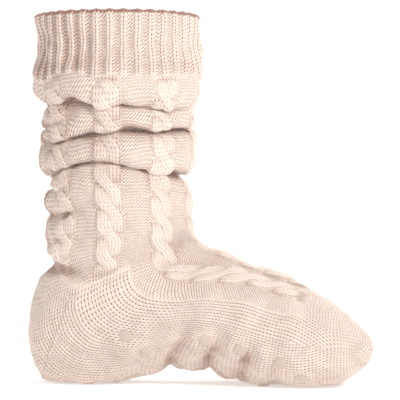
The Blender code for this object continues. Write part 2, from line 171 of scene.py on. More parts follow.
# %% How finely the knit is cut
CABLES = 8
WALES_PER_CABLE = 18
WALES = CABLES * WALES_PER_CABLE
CABLE_HALF_WALES = 4
WALE_WIDTH = 0.0023
INSTEP_CABLE_SHARE = 0.092
HEEL_RUN_IN = 3
POINTS_PER_WALE = 4
COLUMNS = WALES * POINTS_PER_WALE
RINGS_PER_COURSE = 3
COURSES = {"cuff": 20, "slouch": 56, "ankle": 28, "heel": 54, "foot": 57, "toe": 12}
RINGS = {zone: int(count * RINGS_PER_COURSE) for zone, count in COURSES.items()}
STARTS = dict(zip(RINGS, np.cumsum([0, *RINGS.values()]).tolist()))
WALE_OF_COLUMN = np.arange(COLUMNS) / POINTS_PER_WALE
print("rings:", RINGS, "columns:", COLUMNS)


def ring_sections():
    """Section values at every ring, through smooth curves over the table."""
    backs, fronts = SECTIONS[:, 0:2], SECTIONS[:, 2:4]
    steps = np.linalg.norm(np.diff((backs + fronts) / 2, axis=0), axis=1)
    steps += np.linalg.norm(np.diff(backs, axis=0), axis=1)
    knots = np.concatenate([[0.0], np.cumsum(steps)])
    slopes = np.gradient(SECTIONS, knots, axis=0)
    shaft_end = len(SHAFT_SECTIONS)
    depth = SOCK_HEIGHT - SECTIONS[:shaft_end, 1]
    heel_start = shaft_end + HEEL_RUN_IN
    stops = {
        "cuff": knots[0],
        "slouch": np.interp(CUFF_HEIGHT, depth, knots[:shaft_end]),
        "ankle": knots[shaft_end - 1],
        "heel": knots[heel_start],
        "foot": knots[shaft_end + len(HEEL_SECTIONS) - 1],
        "toe": knots[-1 - TOE_SECTIONS],
        "end": knots[-1],
    }
    edges = list(stops.values())
    runs = [
        np.linspace(low, high, count, endpoint=False)
        for low, high, count in zip(edges, edges[1:], RINGS.values())
    ]
    at = np.concatenate([*runs, [knots[-1]]])
    i = np.clip(np.searchsorted(knots, at, side="right") - 1, 0, len(knots) - 2)
    span = (knots[i + 1] - knots[i])[:, None]
    t = ((at - knots[i]) / span[:, 0])[:, None]
    return (
        (2 * t**3 - 3 * t**2 + 1) * SECTIONS[i]
        + (t**3 - 2 * t**2 + t) * span * slopes[i]
        + (-2 * t**3 + 3 * t**2) * SECTIONS[i + 1]
        + (t**3 - t**2) * span * slopes[i + 1]
    )


# %% [markdown]
# The wales are not evenly spaced. A cable keeps its width all the way down, and where the tube
# gets tighter over the instep the ground between the cables gives way. So each ring has a small
# map from wale number to a share of its girth, one for the leg and one for the foot.

# %% Where each wale lies
TIGHTEST_CABLE = 0.36
OUTLINE_POINTS = 721
ARCH_REACH = 0.25
ARCH_SPAN = (-0.75, 0.35)
FOOT_SLANT = math.radians(75)


def wale_shares(turn, girth):
    """The share of the girth where each column lies. turn is 0 on the leg and 1 on the foot."""
    half = min(CABLE_HALF_WALES * WALE_WIDTH / girth, TIGHTEST_CABLE * INSTEP_CABLE_SHARE)
    leg_wales, leg_shares = [], []
    for number in range(CABLES + 1):
        for side in (-1, 1):
            leg_wales.append(number * WALES_PER_CABLE + side * CABLE_HALF_WALES)
            leg_shares.append(number / CABLES + side * half)
    cable = INSTEP_CABLE_SHARE
    edge, ground = CABLE_HALF_WALES, WALES_PER_CABLE
    foot_wales = [-edge, edge, ground - edge, ground + edge, WALES / 4, WALES / 2]
    foot_shares = [-half, half, cable - half, cable + half, 0.25, 0.5]
    foot_wales += [WALES - wale for wale in foot_wales[-2::-1]]
    foot_shares += [1.0 - share for share in foot_shares[-2::-1]]
    on_leg = np.interp(WALE_OF_COLUMN, leg_wales, leg_shares)
    on_foot = np.interp(WALE_OF_COLUMN, foot_wales, foot_shares)
    return on_leg + turn * (on_foot - on_leg)


def ring_points(values, turn):
    """One ring of the sock: from the front of the leg round by the outer side."""
    back, front = values[0:2], values[2:4]
    width, inset, arch, top, bottom = values[4:9]
    angle = np.linspace(0.0, 2 * math.pi, OUTLINE_POINTS)
    along, across = np.cos(angle), np.sin(angle)
    power = np.where(along > 0, 2.0 / top, 2.0 / bottom)
    along = np.sign(along) * np.abs(along) ** power
    across = np.sign(across) * np.abs(across) ** power
    middle, half = (back + front) / 2, (front - back) / 2
    outline = np.empty((len(angle), 3))
    outline[:, 0] = middle[0] + half[0] * along
    outline[:, 1] = inset + width / 2 * across
    outline[:, 2] = middle[1] + half[1] * along
    inner_side = np.maximum(ARCH_REACH - across, 0.0) / (1.0 + ARCH_REACH)
    outline[:, 2] += arch * ARCH_LIFT * inner_side * (1.0 - smooth_step(*ARCH_SPAN, along))
    steps = np.linalg.norm(np.diff(outline, axis=0), axis=1)
    girth = np.concatenate([[0.0], np.cumsum(steps)])
    at = (wale_shares(turn, girth[-1]) % 1.0) * girth[-1]
    return np.stack([np.interp(at, girth, outline[:, k]) for k in range(3)], axis=1)


VALUES = ring_sections()
SLANT = np.arctan2(VALUES[:, 3] - VALUES[:, 1], VALUES[:, 2] - VALUES[:, 0])
TURN = smooth_step(0.0, FOOT_SLANT, SLANT)
SMOOTH = np.array([ring_points(row, turn) for row, turn in zip(VALUES, TURN)])
print("points in the smooth tube:", SMOOTH.shape[0] * SMOOTH.shape[1])

# %% [markdown]
# Now the slouch. Loose knit sinks down the leg and rolls over itself, and a roll is two things: a
# crease that is pressed in, and the cloth above it that hangs down over the crease. Cloth
# simulation could fall into rolls by itself, but never into the ones we want. So each crease is
# a row in a table, and so is each soft pucker at the heel and arch. A crease's
# row says how high it lies on the leg, how its line bends on the way round, where it is and how
# far it reaches in degrees, and then how deep, how wide and how tucked it is.

# %% The creases, row by row
CREASE_DEPTH = 0.0078
CREASE_HALF_HEIGHT = 0.0041
CREASE_TUCK = 0.0054
CREASE_COLUMNS = ("height", "rise", "arch", "swirl", "around", "reach", "depth", "spread", "tuck")
CREASES = (
    (0.572, -0.022, 0.004, 0.004, -85, 120, 1.05, 0.90, 1.15),
    (0.551, 0.089, 0.000, 0.000, -152, 46, 0.75, 0.80, 0.60),
    (0.424, 0.040, -0.004, 0.008, -65, 150, 1.15, 0.95, 1.10),
    (0.260, -0.006, -0.024, 0.008, -60, 160, 1.25, 0.95, 1.20),
    (0.565, -0.040, 0.000, 0.014, 125, 80, 0.95, 1.10, 0.80),
    (0.445, -0.030, 0.000, 0.012, 100, 85, 0.90, 1.00, 0.90),
    (0.262, 0.010, 0.000, 0.012, 95, 85, 0.95, 1.00, 1.00),
    (0.035, 0.000, 0.000, 0.010, -165, 60, 0.75, 0.95, 0.90),
    (0.145, 0.010, 0.000, 0.010, 60, 70, 0.60, 1.20, 0.60),
    (0.640, 0.100, 0.000, 0.000, 175, 36, 0.85, 1.00, 0.60),
    (0.150, -0.010, 0.000, 0.000, -168, 52, 0.75, 0.80, 0.80),
    (0.215, 0.000, 0.000, 0.000, -178, 30, 0.50, 0.70, 0.40),
    (0.840, 0.000, 0.000, 0.000, 175, 130, 0.30, 2.40, 0.00),
)
print("creases:", len(CREASES))

# %% The puckers, row by row
PUCKER_DEPTH = 0.0042
PUCKER_RIDGE = 0.45
PUCKER_HALF_LENGTH = 0.020
PUCKER_HALF_WIDTH = 0.0042
PUCKER_COLUMNS = ("at_x", "at_z", "runs", "length", "width", "depth", "side")
PUCKERS = (
    (0.060, 0.860, -14, 1.50, 1.15, 1.45, 0),
    (0.040, 0.985, 6, 0.90, 0.80, 0.80, 0),
    (0.430, 0.170, 62, 0.95, 1.05, 1.15, 0),
    (0.530, 0.150, 66, 0.85, 1.00, 1.05, 0),
    (0.628, 0.120, 70, 0.85, 1.00, 0.90, -1),
    (0.725, 0.130, 78, 0.80, 1.10, 0.50, -1),
    (0.440, 0.960, 64, 0.75, 1.20, 0.70, 0),
)
print("puckers:", len(PUCKERS))

# %% [markdown]
# A crease is a bell curve across its own line. The same bell moved up gives the puffed roll and
# the cloth that hangs, and moved down it gives the shade under the roll. Real rolls are never
# even, so a few sine waves in random directions are added up to a soft noise. Their dice are
# seeded, and the sock comes out the same every time.

# %% What a crease does to the tube
ROLL_PUFF = 0.0028
PUFF_MIDDLE, PUFF_SWING, PUFF_BLOBS = 0.75, 0.45, 0.050
PUFF_ABOVE, PUFF_SPREAD = 2.6, 1.4
HANGS_ABOVE = 1.5
SHADE_BELOW, SHADE_SPREAD = 1.6, 1.7
CREASE_FADES = (0.45, 1.0)
SWIRL_SHIFT = 40
BLOB_SIZES = (0.7, 1.5)


def bell(off, middle=0.0, spread=1.0):
    """1 at the middle, with an even fall to both sides."""
    return np.exp(-0.5 * ((off - middle) / spread) ** 2)


def soft_noise(points, length, seed, waves=10):
    """Smooth noise of about -1 to 1 over points, with blobs of about this length."""
    dice = np.random.default_rng(seed)
    total = np.zeros(points.shape[:2])
    for _ in range(waves):
        way = dice.normal(size=3)
        way /= np.linalg.norm(way)
        beat = 2 * math.pi / (length * dice.uniform(*BLOB_SIZES))
        total += np.sin(points @ way * beat + dice.uniform(0.0, 2 * math.pi))
    return total / math.sqrt(waves)


def crease_offsets(grid):
    """How far the creases press in, how far the rolls above hang down, and the shade below."""
    size = SOCK_HEIGHT - ANKLE_HEIGHT
    height = (grid[:, :, 2] - ANKLE_HEIGHT) / size
    around = np.degrees(np.arctan2(grid[:, :, 1], grid[:, :, 0] - SHAFT_CENTRE_FROM_HEEL))
    press, drop, shade = (np.zeros(height.shape) for _ in range(3))
    puff = ROLL_PUFF * (PUFF_MIDDLE + PUFF_SWING * soft_noise(grid, PUFF_BLOBS, 11))
    for row in rows_of(CREASE_COLUMNS, CREASES):
        away = (around - row["around"] + 180.0) % 360.0 - 180.0
        window = 1.0 - smooth_step(*CREASE_FADES, np.abs(away) / row["reach"])
        middle = (
            row["height"]
            + row["rise"] * np.cos(np.radians(around))
            + row["arch"] * np.cos(np.radians(2 * around))
            + row["swirl"] * np.sin(np.radians(3 * around + SWIRL_SHIFT * row["depth"]))
        )
        off = (height - middle) * size / (CREASE_HALF_HEIGHT * row["spread"])
        press += row["depth"] * CREASE_DEPTH * window * bell(off)
        press -= row["depth"] * puff * window * bell(off, PUFF_ABOVE, PUFF_SPREAD)
        drop += row["tuck"] * CREASE_TUCK * window * bell(off, HANGS_ABOVE)
        shade += row["depth"] * window * bell(off, -SHADE_BELOW, SHADE_SPREAD)
    return press, drop, shade


PRESS, DROP, SHADE = crease_offsets(SMOOTH)
print("deepest crease, mm:", round(1000 * float(PRESS.max()), 1))

# %% [markdown]
# A pucker is a short trough with a soft ridge beside it. A crease runs round the leg, but a
# pucker lies anywhere on the heel or foot, so its row gives a place, a direction and a length.

# %% What a pucker does to the tube
RIDGE_BESIDE = 2.3
ONE_SIDE = (-0.1, 0.5)


def pucker_offsets(grid):
    """How far the soft puckers at heel, arch and ankle press in."""
    press = np.zeros(grid.shape[:2])
    for row in rows_of(PUCKER_COLUMNS, PUCKERS):
        turn = math.radians(row["runs"])
        x = grid[:, :, 0] - row["at_x"] * FOOT_LENGTH
        z = grid[:, :, 2] - row["at_z"] * INSTEP_HEIGHT
        along = (x * math.cos(turn) + z * math.sin(turn)) / (row["length"] * PUCKER_HALF_LENGTH)
        across = (z * math.cos(turn) - x * math.sin(turn)) / (row["width"] * PUCKER_HALF_WIDTH)
        shown = bell(along)
        if row["side"]:
            shown *= smooth_step(*ONE_SIDE, row["side"] * grid[:, :, 1] / (HEEL_WIDTH / 2))
        fold = bell(across) - PUCKER_RIDGE * bell(across, RIDGE_BESIDE)
        press += row["depth"] * PUCKER_DEPTH * shown * fold
    return press


PUCKERED = pucker_offsets(SMOOTH)
print("deepest pucker, mm:", round(1000 * float(PUCKERED.max()), 1))

# %% [markdown]
# A fold in this sock isn't the same all the way. Between the cables the thin ground gives way
# and the fold stands open. A cable is thick and stiff, so it bridges the fold and nearly
# closes it. We write that as one map, OPEN, and let it deepen the creases and lift the rolls.
# Then the tube is moved: in by the creases, down by the rolls, and flat under the sole.

# %% The soft, folded tube
FROM_CABLE = (WALE_OF_COLUMN + WALES_PER_CABLE / 2) % WALES_PER_CABLE
FROM_CABLE = np.abs(FROM_CABLE - WALES_PER_CABLE / 2)
CABLE_FADES = (2.0, 6.0)
CABLE_FILLS, CABLE_CLOSES = 0.22, 0.80
OPEN_MIDDLE, OPEN_BLOBS = 0.40, 0.027
OPEN_DEEPENS, OPEN_LIFTS = 0.20, 0.34
LUMP_HEIGHT, LUMP_BLOBS = 0.0010, 0.034
SMALL_LUMP_HEIGHT, SMALL_LUMP_BLOBS = 0.0005, 0.013
CALM_RIM, CALM_TOE = 0.02, 0.03
CUFF_EDGE = SOCK_HEIGHT - CUFF_HEIGHT
CUFF_BLEND = 0.010

BY_CABLE = 1.0 - smooth_step(*CABLE_FADES, FROM_CABLE)[None, :]
OPEN = soft_noise(SMOOTH, OPEN_BLOBS, 12) + OPEN_MIDDLE - CABLE_CLOSES * BY_CABLE
PRESS *= 1.0 + OPEN_DEEPENS * OPEN - CABLE_FILLS * BY_CABLE
DROP *= 1.0 - OPEN_LIFTS * OPEN
LUMPS = LUMP_HEIGHT * soft_noise(SMOOTH, LUMP_BLOBS, 1)
LUMPS += SMALL_LUMP_HEIGHT * soft_noise(SMOOTH, SMALL_LUMP_BLOBS, 2)
LUMPS *= smooth_step(0.0, CALM_RIM, SOCK_HEIGHT - SMOOTH[:, :, 2])
LUMPS *= smooth_step(0.0, CALM_TOE, FOOT_LENGTH - SMOOTH[:, :, 0])
PRESS = PRESS + PUCKERED - LUMPS


def outward(grid):
    """The outward direction at each point of the rings."""
    along = np.gradient(grid, axis=0)
    around = np.roll(grid, -1, axis=1) - np.roll(grid, 1, axis=1)
    normals = np.cross(along, around)
    return normals / np.maximum(np.linalg.norm(normals, axis=2, keepdims=True), 1e-12)


def soft_face(lift, floor):
    """The smooth tube moved outward by lift, with its rolls hung and its sole pressed flat."""
    moved = SMOOTH + OUTWARD * lift[:, :, None]
    moved[:, :, 2] -= DROP
    pressed = SOLE_PRESS * (1.0 - smooth_step(0.0, SOLE_ROUNDING, SMOOTH[:, :, 2]))
    moved[:, :, 2] = np.maximum(moved[:, :, 2] - pressed, floor)
    return moved


OUTWARD = outward(SMOOTH)
ON_CUFF = smooth_step(CUFF_EDGE - CUFF_BLEND, CUFF_EDGE + CUFF_STEP, SMOOTH[:, :, 2])
FOLDED = soft_face(CUFF_STEP * ON_CUFF - PRESS, SOLE_PLANE)
SHIFT = Vector((KNIT_LOW.x - FOLDED[:, :, 0].min(), 0.0, 0.0))
print("pressed in at most, mm:", round(1000 * float(PRESS.max()), 1))

# %% [markdown]
# Every vertex now needs to know which stitch it belongs to. Across, that is its wale. Along, it is
# its course, counted from the rim. On the tube a ring is about a third of a course. Round the
# heel the rings fan out, so there we count courses by length instead, once from the leg and once
# from the sole. The two counts meet in a slanting line, the mitre of a short-row heel.

# %% Counting the courses
COURSE_HEIGHT = 0.0024
HEEL_HALF_WALES = 28
INSTEP_COURSES = 20
MITRE_LOW = (0.014, 0.008)
MITRE_HIGH = (0.040, 0.066)
MITRE_HALF_WIDTH = 0.0011
HEEL_FADE_WALES = 3
STITCH_DRIFT, DRIFT_BLOBS = 0.32, 0.020


def lengths_down(grid):
    """How far each point lies from the rim along its own column."""
    steps = np.linalg.norm(np.diff(grid, axis=0), axis=2)
    return np.concatenate([np.zeros((1, grid.shape[1])), np.cumsum(steps, axis=0)])


def course_numbers():
    """The course of every point, and how near it lies to the mitre of the heel."""
    down = lengths_down(FOLDED)
    first, last = STARTS["heel"], STARTS["foot"]
    by_ring = down.mean(axis=1) / COURSE_HEIGHT
    start = by_ring[first]
    end = start + INSTEP_COURSES
    by_ring = np.where(np.arange(len(by_ring)) > last, by_ring - by_ring[last] + end, by_ring)
    courses = np.repeat(by_ring[:, None], COLUMNS, axis=1)
    run = down[first : last + 1] - down[first]
    total = run[-1]
    even = start + INSTEP_COURSES * run / total
    x, z = SMOOTH[first : last + 1, :, 0], SMOOTH[first : last + 1, :, 2]
    slope = (MITRE_HIGH[0] - MITRE_LOW[0]) / (MITRE_HIGH[1] - MITRE_LOW[1])
    before = MITRE_LOW[0] + slope * (z - MITRE_LOW[1]) - x
    from_leg = start + run / COURSE_HEIGHT
    from_sole = end - (total - run) / COURSE_HEIGHT
    turned = np.where(before > 0, from_leg, from_sole)
    from_back = np.abs(WALE_OF_COLUMN - WALES / 2)
    heel = 1.0 - smooth_step(HEEL_HALF_WALES - HEEL_FADE_WALES, HEEL_HALF_WALES, from_back)
    courses[first : last + 1] = even + heel * (turned - even)
    mitre = np.zeros(courses.shape)
    mitre[first : last + 1] = heel * np.exp(-((before / MITRE_HALF_WIDTH) ** 2))
    return courses, mitre


COURSE, MITRE = course_numbers()
COURSE = COURSE + STITCH_DRIFT * soft_noise(SMOOTH, DRIFT_BLOBS, 3)
print("courses from rim to toe:", round(float(COURSE.max())))

# %% [markdown]
# A machine can't squeeze a stitch for ever. Where the tube gets tight there are fewer wales, and
# the ones that stay keep their width. So the ground strips show fewer wales over the instep, and
# in the toe the wales run straight on until they meet the line at its side, where they end.

# %% The wale to draw at each point
FEWEST_KEPT = 0.2
WALE = np.repeat(WALE_OF_COLUMN[None, :], FOLDED.shape[0], axis=0)
FROM_FRONT = np.minimum(WALE, WALES - WALE)
TOE_NARROWING = 0.055


def shown_wales():
    """The wale to draw at each point, and the girth of every ring."""
    steps = np.linalg.norm(np.roll(SMOOTH, -1, axis=1) - SMOOTH, axis=2)
    girth = steps.sum(axis=1)
    signed = np.where(WALE > WALES / 2, WALE - WALES, WALE)
    shown = signed
    for number in range(CABLES // 2):
        low = number * WALES_PER_CABLE + CABLE_HALF_WALES
        high = low + WALES_PER_CABLE - 2 * CABLE_HALF_WALES
        strip = steps[:, low * POINTS_PER_WALE : high * POINTS_PER_WALE].sum(axis=1)
        kept = np.clip(strip / WALE_WIDTH / (high - low), FEWEST_KEPT, 1.0)
        if number > 0:
            kept = 1.0 - (1.0 - kept) * (1.0 - TURN)
        fewer = np.sign(signed) * (low + (FROM_FRONT - low) * kept[:, None])
        shown = np.where((FROM_FRONT > low) & (FROM_FRONT < high), fewer, shown)
    toe_start = int(np.argmax(SMOOTH[:, 0, 0] > FOOT_LENGTH - TOE_NARROWING))
    narrow = np.minimum(girth / girth[toe_start], 1.0)[:, None]
    narrow[:toe_start] = 1.0
    middle = np.where(FROM_FRONT < WALES / 4, 0.0, np.sign(signed) * WALES / 2)
    return middle + (shown - middle) * narrow, girth


SHOWN_WALE, GIRTH = shown_wales()
print("girth at the rim, mm:", round(1000 * float(GIRTH[0])))

# %% [markdown]
# A knit stitch looks like a small V of two yarn legs. A purl stitch is the back of the same loop
# and looks like a short slanting bar. Both are written here as heights between 0 and 1 over the
# wale and course of a point, from a few cosines. That is cheaper and steadier than thousands of
# modelled loops of yarn, and at arm's length it reads the same.

# %% The two stitches
LEG_GROOVE = 0.35
BEAD_SHARE = 0.38
BRIDGE_HEIGHT = 0.40
LEG_SLANT, PURL_SLANT = 0.5, 0.20


def wave(turns):
    """A cosine that is 1 at whole turns and 0 halfway between them."""
    return 0.5 + 0.5 * np.cos(2 * math.pi * turns)


def knit_height(wale, course):
    """A wale is two slanting legs side by side, and dark pits dot the groove between wales."""
    across = np.abs(2.0 * (wale % 1.0) - 1.0)
    beads = wave(course - LEG_SLANT * across)
    bridges = 1.0 - wave(course)
    legs = 1.0 - across**3 - LEG_GROOVE * (1.0 - across) ** 3
    return legs * (1.0 - BEAD_SHARE + BEAD_SHARE * beads) + (1.0 - legs) * BRIDGE_HEIGHT * bridges


def purl_height(wale, course):
    """Short slanting bars, one to a stitch, that lie in rows round the sock."""
    return wave(course - PURL_SLANT * np.sin(2 * math.pi * wale))


for stitch, height_of in (("knit", knit_height), ("purl", purl_height)):
    print(stitch, "heights:", [round(float(height_of(0.25, k / 4)), 2) for k in range(4)])

# %% [markdown]
# A cable is two strands of four wales each that keep changing places. Always the same one
# passes in front, so the strands look twisted like rope. Strand number n crosses the middle of the
# cable at crossing n, is highest there, and dives behind its neighbours one crossing away.

# %% The cables
CABLE_CROSSING = 0.0180
CABLE_HEIGHT = 0.0024
STRAND_SWING = 1.9
STRAND_HALF_WALES = 2.45
CROSSING_SHARE = 0.42
STRAND_FLATNESS, STRAND_SHOULDER = 2.6, 0.6
DIVE_POWER = 0.50


def strand(number, across, along):
    """Height of one strand over the ground, and the wale within the strand."""
    since = along - number
    swing = np.sin(np.clip(since / CROSSING_SHARE, -1.0, 1.0) * math.pi / 2)
    middle = STRAND_SWING * swing
    off = np.abs(across - middle) / STRAND_HALF_WALES
    round_top = np.clip(1.0 - off**STRAND_FLATNESS, 0.0, 1.0) ** STRAND_SHOULDER
    arch = np.clip(np.cos(math.pi / 2 * np.clip(since, -1.0, 1.0)), 0.0, 1.0) ** DIVE_POWER
    return arch * round_top, across - middle + STRAND_SWING


def cable_height(across, along):
    """The higher of the two strands at each point, and its wale for the stitches on it."""
    low = np.floor(along)
    first, first_wale = strand(low, across, along)
    second, second_wale = strand(low + 1.0, across, along)
    return np.maximum(first, second), np.where(first > second, first_wale, second_wale)


print("a strand crosses every", round(1000 * CABLE_CROSSING), "mm")

# %% [markdown]
# Where does each kind of knit lie? The cuff is a two by two rib. Below it eight cables run down
# a purl ground. Five of them end where the heel starts, and three run on over the instep to the
# toe, with a strip of purl beside them. Heel, sole and toe are plain. Each kind gets a map from
# 0 to 1 over the whole tube, so that they can fade into one another.

# %% Maps of ribs, cables and ground
RIB_REPEAT = 4.0
HEEL_START_SLANT = 23.5
HEEL_BACK_RISE = 0.50
BACK_SHARES = (0.28, 0.45)
FANCY_FADES, CABLES_FADE = (0.92, 1.06), (0.75, 1.04)
CABLE_RUN_OUT = 0.018
CUFF_RUN_OUT = 0.008
CUFF_LINE = 0.0015
CUFF_WAVER, WAVER_BLOBS = 0.0018, 0.028
INSTEP_CABLES_END = 0.043
PURL_STRIP_WALES = 6
KNIT_COLUMNS = (0.25, 0.60)


def zones():
    """Shares from 0 to 1: ribbed, cabled or purl ground, and each cable's own run."""
    x, z = SMOOTH[:, :, 0], SMOOTH[:, :, 2]
    z = z + CUFF_WAVER * soft_noise(SMOOTH, WAVER_BLOBS, 5)
    ribbed = smooth_step(CUFF_EDGE - CUFF_LINE, CUFF_EDGE + CUFF_LINE, z)
    below_cuff = 1.0 - smooth_step(CUFF_EDGE - CUFF_RUN_OUT, CUFF_EDGE, z)
    at_back = smooth_step(BACK_SHARES[0] * WALES, BACK_SHARES[1] * WALES, FROM_FRONT[0])[None, :]
    heel_start = math.radians(HEEL_START_SLANT) * (1.0 - HEEL_BACK_RISE * at_back)
    slant = SLANT[:, None] / heel_start
    before_heel = 1.0 - smooth_step(*FANCY_FADES, slant)
    toe_start = FOOT_LENGTH - INSTEP_CABLES_END
    before_toe = 1.0 - smooth_step(toe_start - CABLE_RUN_OUT, toe_start, x)
    strip_end = WALES_PER_CABLE + CABLE_HALF_WALES + PURL_STRIP_WALES
    over_instep = 1.0 - smooth_step(strip_end - 0.5, strip_end + 0.5, FROM_FRONT)
    fancy = np.maximum(before_heel, over_instep * before_toe) * (1.0 - ribbed)
    runs_out = 1.0 - smooth_step(*CABLES_FADE, slant)
    return ribbed, fancy, below_cuff * runs_out, below_cuff * before_toe


def rib_wave(wale):
    """1 on the knit columns of the two by two rib and 0 in its grooves."""
    return wave((wale - 1.0) / RIB_REPEAT)


RIBBED, FANCY, LEG_RUN, FOOT_RUN = zones()
KNIT_RIB = smooth_step(*KNIT_COLUMNS, rib_wave(WALE)) * RIBBED
print("share that is cabled or purl:", round(float(FANCY.mean()), 2))

# %% All the cables round the sock
CABLE_SHIFT = 0.37
ROPE_FLOOR = 0.03
VALLEY_AT, VALLEY_HALF_WIDTH, VALLEY_BELOW = 0.7, 0.9, 0.2


def cabled_surface():
    """Height of all the cables, the wale within their strands, and the valleys beside them."""
    inside_wale, cables, beside = SHOWN_WALE.copy(), np.zeros(WALE.shape), np.zeros(WALE.shape)
    down = lengths_down(FOLDED)
    for number in range(CABLES):
        centre = number * WALES_PER_CABLE
        across = (WALE - centre + WALES / 2) % WALES - WALES / 2
        line = down[:, centre * POINTS_PER_WALE][:, None]
        rope, rope_wale = cable_height(across, line / CABLE_CROSSING + CABLE_SHIFT * number)
        shown = FOOT_RUN if number in (0, 1, CABLES - 1) else LEG_RUN
        cables += rope * shown
        on_strand = (np.abs(across) < CABLE_HALF_WALES + 0.5) & (rope * shown > ROPE_FLOOR)
        inside_wale = np.where(on_strand, rope_wale, inside_wale)
        edge = (np.abs(across) - CABLE_HALF_WALES - VALLEY_AT) / VALLEY_HALF_WIDTH
        beside += np.exp(-(edge**2)) * shown * (rope < VALLEY_BELOW)
    return cables, inside_wale, beside


CABLED, STITCH_WALE, BESIDE = cabled_surface()
print("share under a cable:", round(float((CABLED > ROPE_FLOOR).mean()), 2))

# %% [markdown]
# Now the heights add up. A fold flattens the cable that crosses it. Just under the cuff a cable
# hasn't started yet, so its wales are plain knit there. The material has to know the kind of
# stitch too, and one number says it: 1 is purl, 0 is knit and -1 is knit on a cable.

# %% The relief of the knit
RIB_HEIGHT, RIB_ROUNDS = 0.0019, (0.0, 0.9)
KNIT_RELIEF = 0.00085
PURL_RELIEF = 0.00045
STRAND_RELIEF = 0.00065
GROUND_DIP = 0.0002
MITRE_RELIEF = 0.0006
TOE_LINE_RELIEF = 0.0007
TOE_LINE_HALF_WALES, TOE_LINE_BEADS = 0.9, 0.8
TOE_LINE_STARTS = (0.046, 0.040)
TOE_CLOSES = (0.010, 0.060)
CUFF_FLARE = 0.016
FLARE_FADES = (2.6, 3.8)
FOLD_FLATTENS, FOLD_BITES = 0.85, (0.0010, 0.0042)
FLATTEST = 0.3
INSTEP_BOOST = 0.25
ROPE_FADES = (0.02, 0.20)

PLAIN = 1.0 - np.maximum(FANCY, RIBBED)
FLATTENED = 1.0 - FOLD_FLATTENS * smooth_step(*FOLD_BITES, PRESS)
ON_ROPE = smooth_step(*ROPE_FADES, CABLED)
FLARE = (1.0 - smooth_step(*FLARE_FADES, FROM_CABLE)[None, :]) * (1.0 - LEG_RUN) * (1.0 - RIBBED)
FLARE *= SMOOTH[:, :, 2] > CUFF_EDGE - CUFF_FLARE
PURL = FANCY * (1.0 - ON_ROPE) * (1.0 - FLARE) + RIBBED - KNIT_RIB
ON_STRAND = ON_ROPE * np.maximum(FLATTENED, FLATTEST)
KINDS = np.clip(PURL, 0.0, 1.0) - np.clip(ON_STRAND, 0.0, 1.0)


def relief():
    """Height of the knit over the folded tube."""
    height = RIB_HEIGHT * smooth_step(*RIB_ROUNDS, rib_wave(WALE)) * RIBBED
    height += CABLE_HEIGHT * CABLED * FLATTENED * (1.0 + INSTEP_BOOST * TURN[:, None])
    height -= GROUND_DIP * BESIDE
    height += STRAND_RELIEF * ON_STRAND * (knit_height(STITCH_WALE, COURSE) - 0.5)
    height += KNIT_RELIEF * (PLAIN + KNIT_RIB + FLARE) * (knit_height(SHOWN_WALE, COURSE) - 0.5)
    height += PURL_RELIEF * PURL * (purl_height(SHOWN_WALE, COURSE) - 0.5)
    height += MITRE_RELIEF * MITRE
    at_side = np.exp(-(((FROM_FRONT - WALES / 4) / TOE_LINE_HALF_WALES) ** 2))
    starts = [FOOT_LENGTH - reach for reach in TOE_LINE_STARTS]
    toe_line = at_side * smooth_step(*starts, SMOOTH[:, :, 0])
    height += TOE_LINE_RELIEF * toe_line * (1.0 - TOE_LINE_BEADS * (1.0 - wave(COURSE)))
    return height * smooth_step(*TOE_CLOSES, GIRTH)[:, None]


HEIGHT = relief()
print("relief, mm:", round(1000 * float(HEIGHT.min()), 2), "to", round(1000 * float(HEIGHT.max()), 2))

# %% [markdown]
# Thick wool lies in shade where light has to find its way in: in the grooves of the ribs, between
# the strands, beside a cable and deep in a fold. The lamps do a part of it. The rest is painted
# shade: this map travels with the mesh, and the material blends a dark rosy shade colour in by it.
# The back of the sock gets more painted shade, most of all in its rib grooves.

# %% How much painted shade each point gets
# Strengths of the painted shade, place by place.
BACK_FADES = (0.010, 0.085)
BACK_SHADE = 0.03
GROOVE_SHADE, GROOVE_SHADE_AT_BACK = 0.26, 0.58
CUFF_TONE = 0.09
CUFF_FOOT_SHADE, CUFF_FOOT_HEIGHT = 0.12, 0.005
BESIDE_SHADE = 0.14
STRAND_EDGE_SHADE, STRAND_EDGE_SHADE_ON_FOOT, STRAND_EDGE = 0.50, 0.30, (0.25, 0.85)
UNEVEN_FOLDS, UNEVEN_LIMITS = 0.60, (0.2, 2.2)
FOLD_SHADE, FOLD_DEEPENS = 0.85, (0.0024, 0.0084)
SHADE_TONE, SHADE_TONE_AT_BACK = 0.20, 0.10
PUCKER_SHADE, PUCKER_DEEPENS = 0.55, (0.0006, 0.0048)
MOST_FOLD_SHADE, MOST_SHADE = 0.86, 1.5


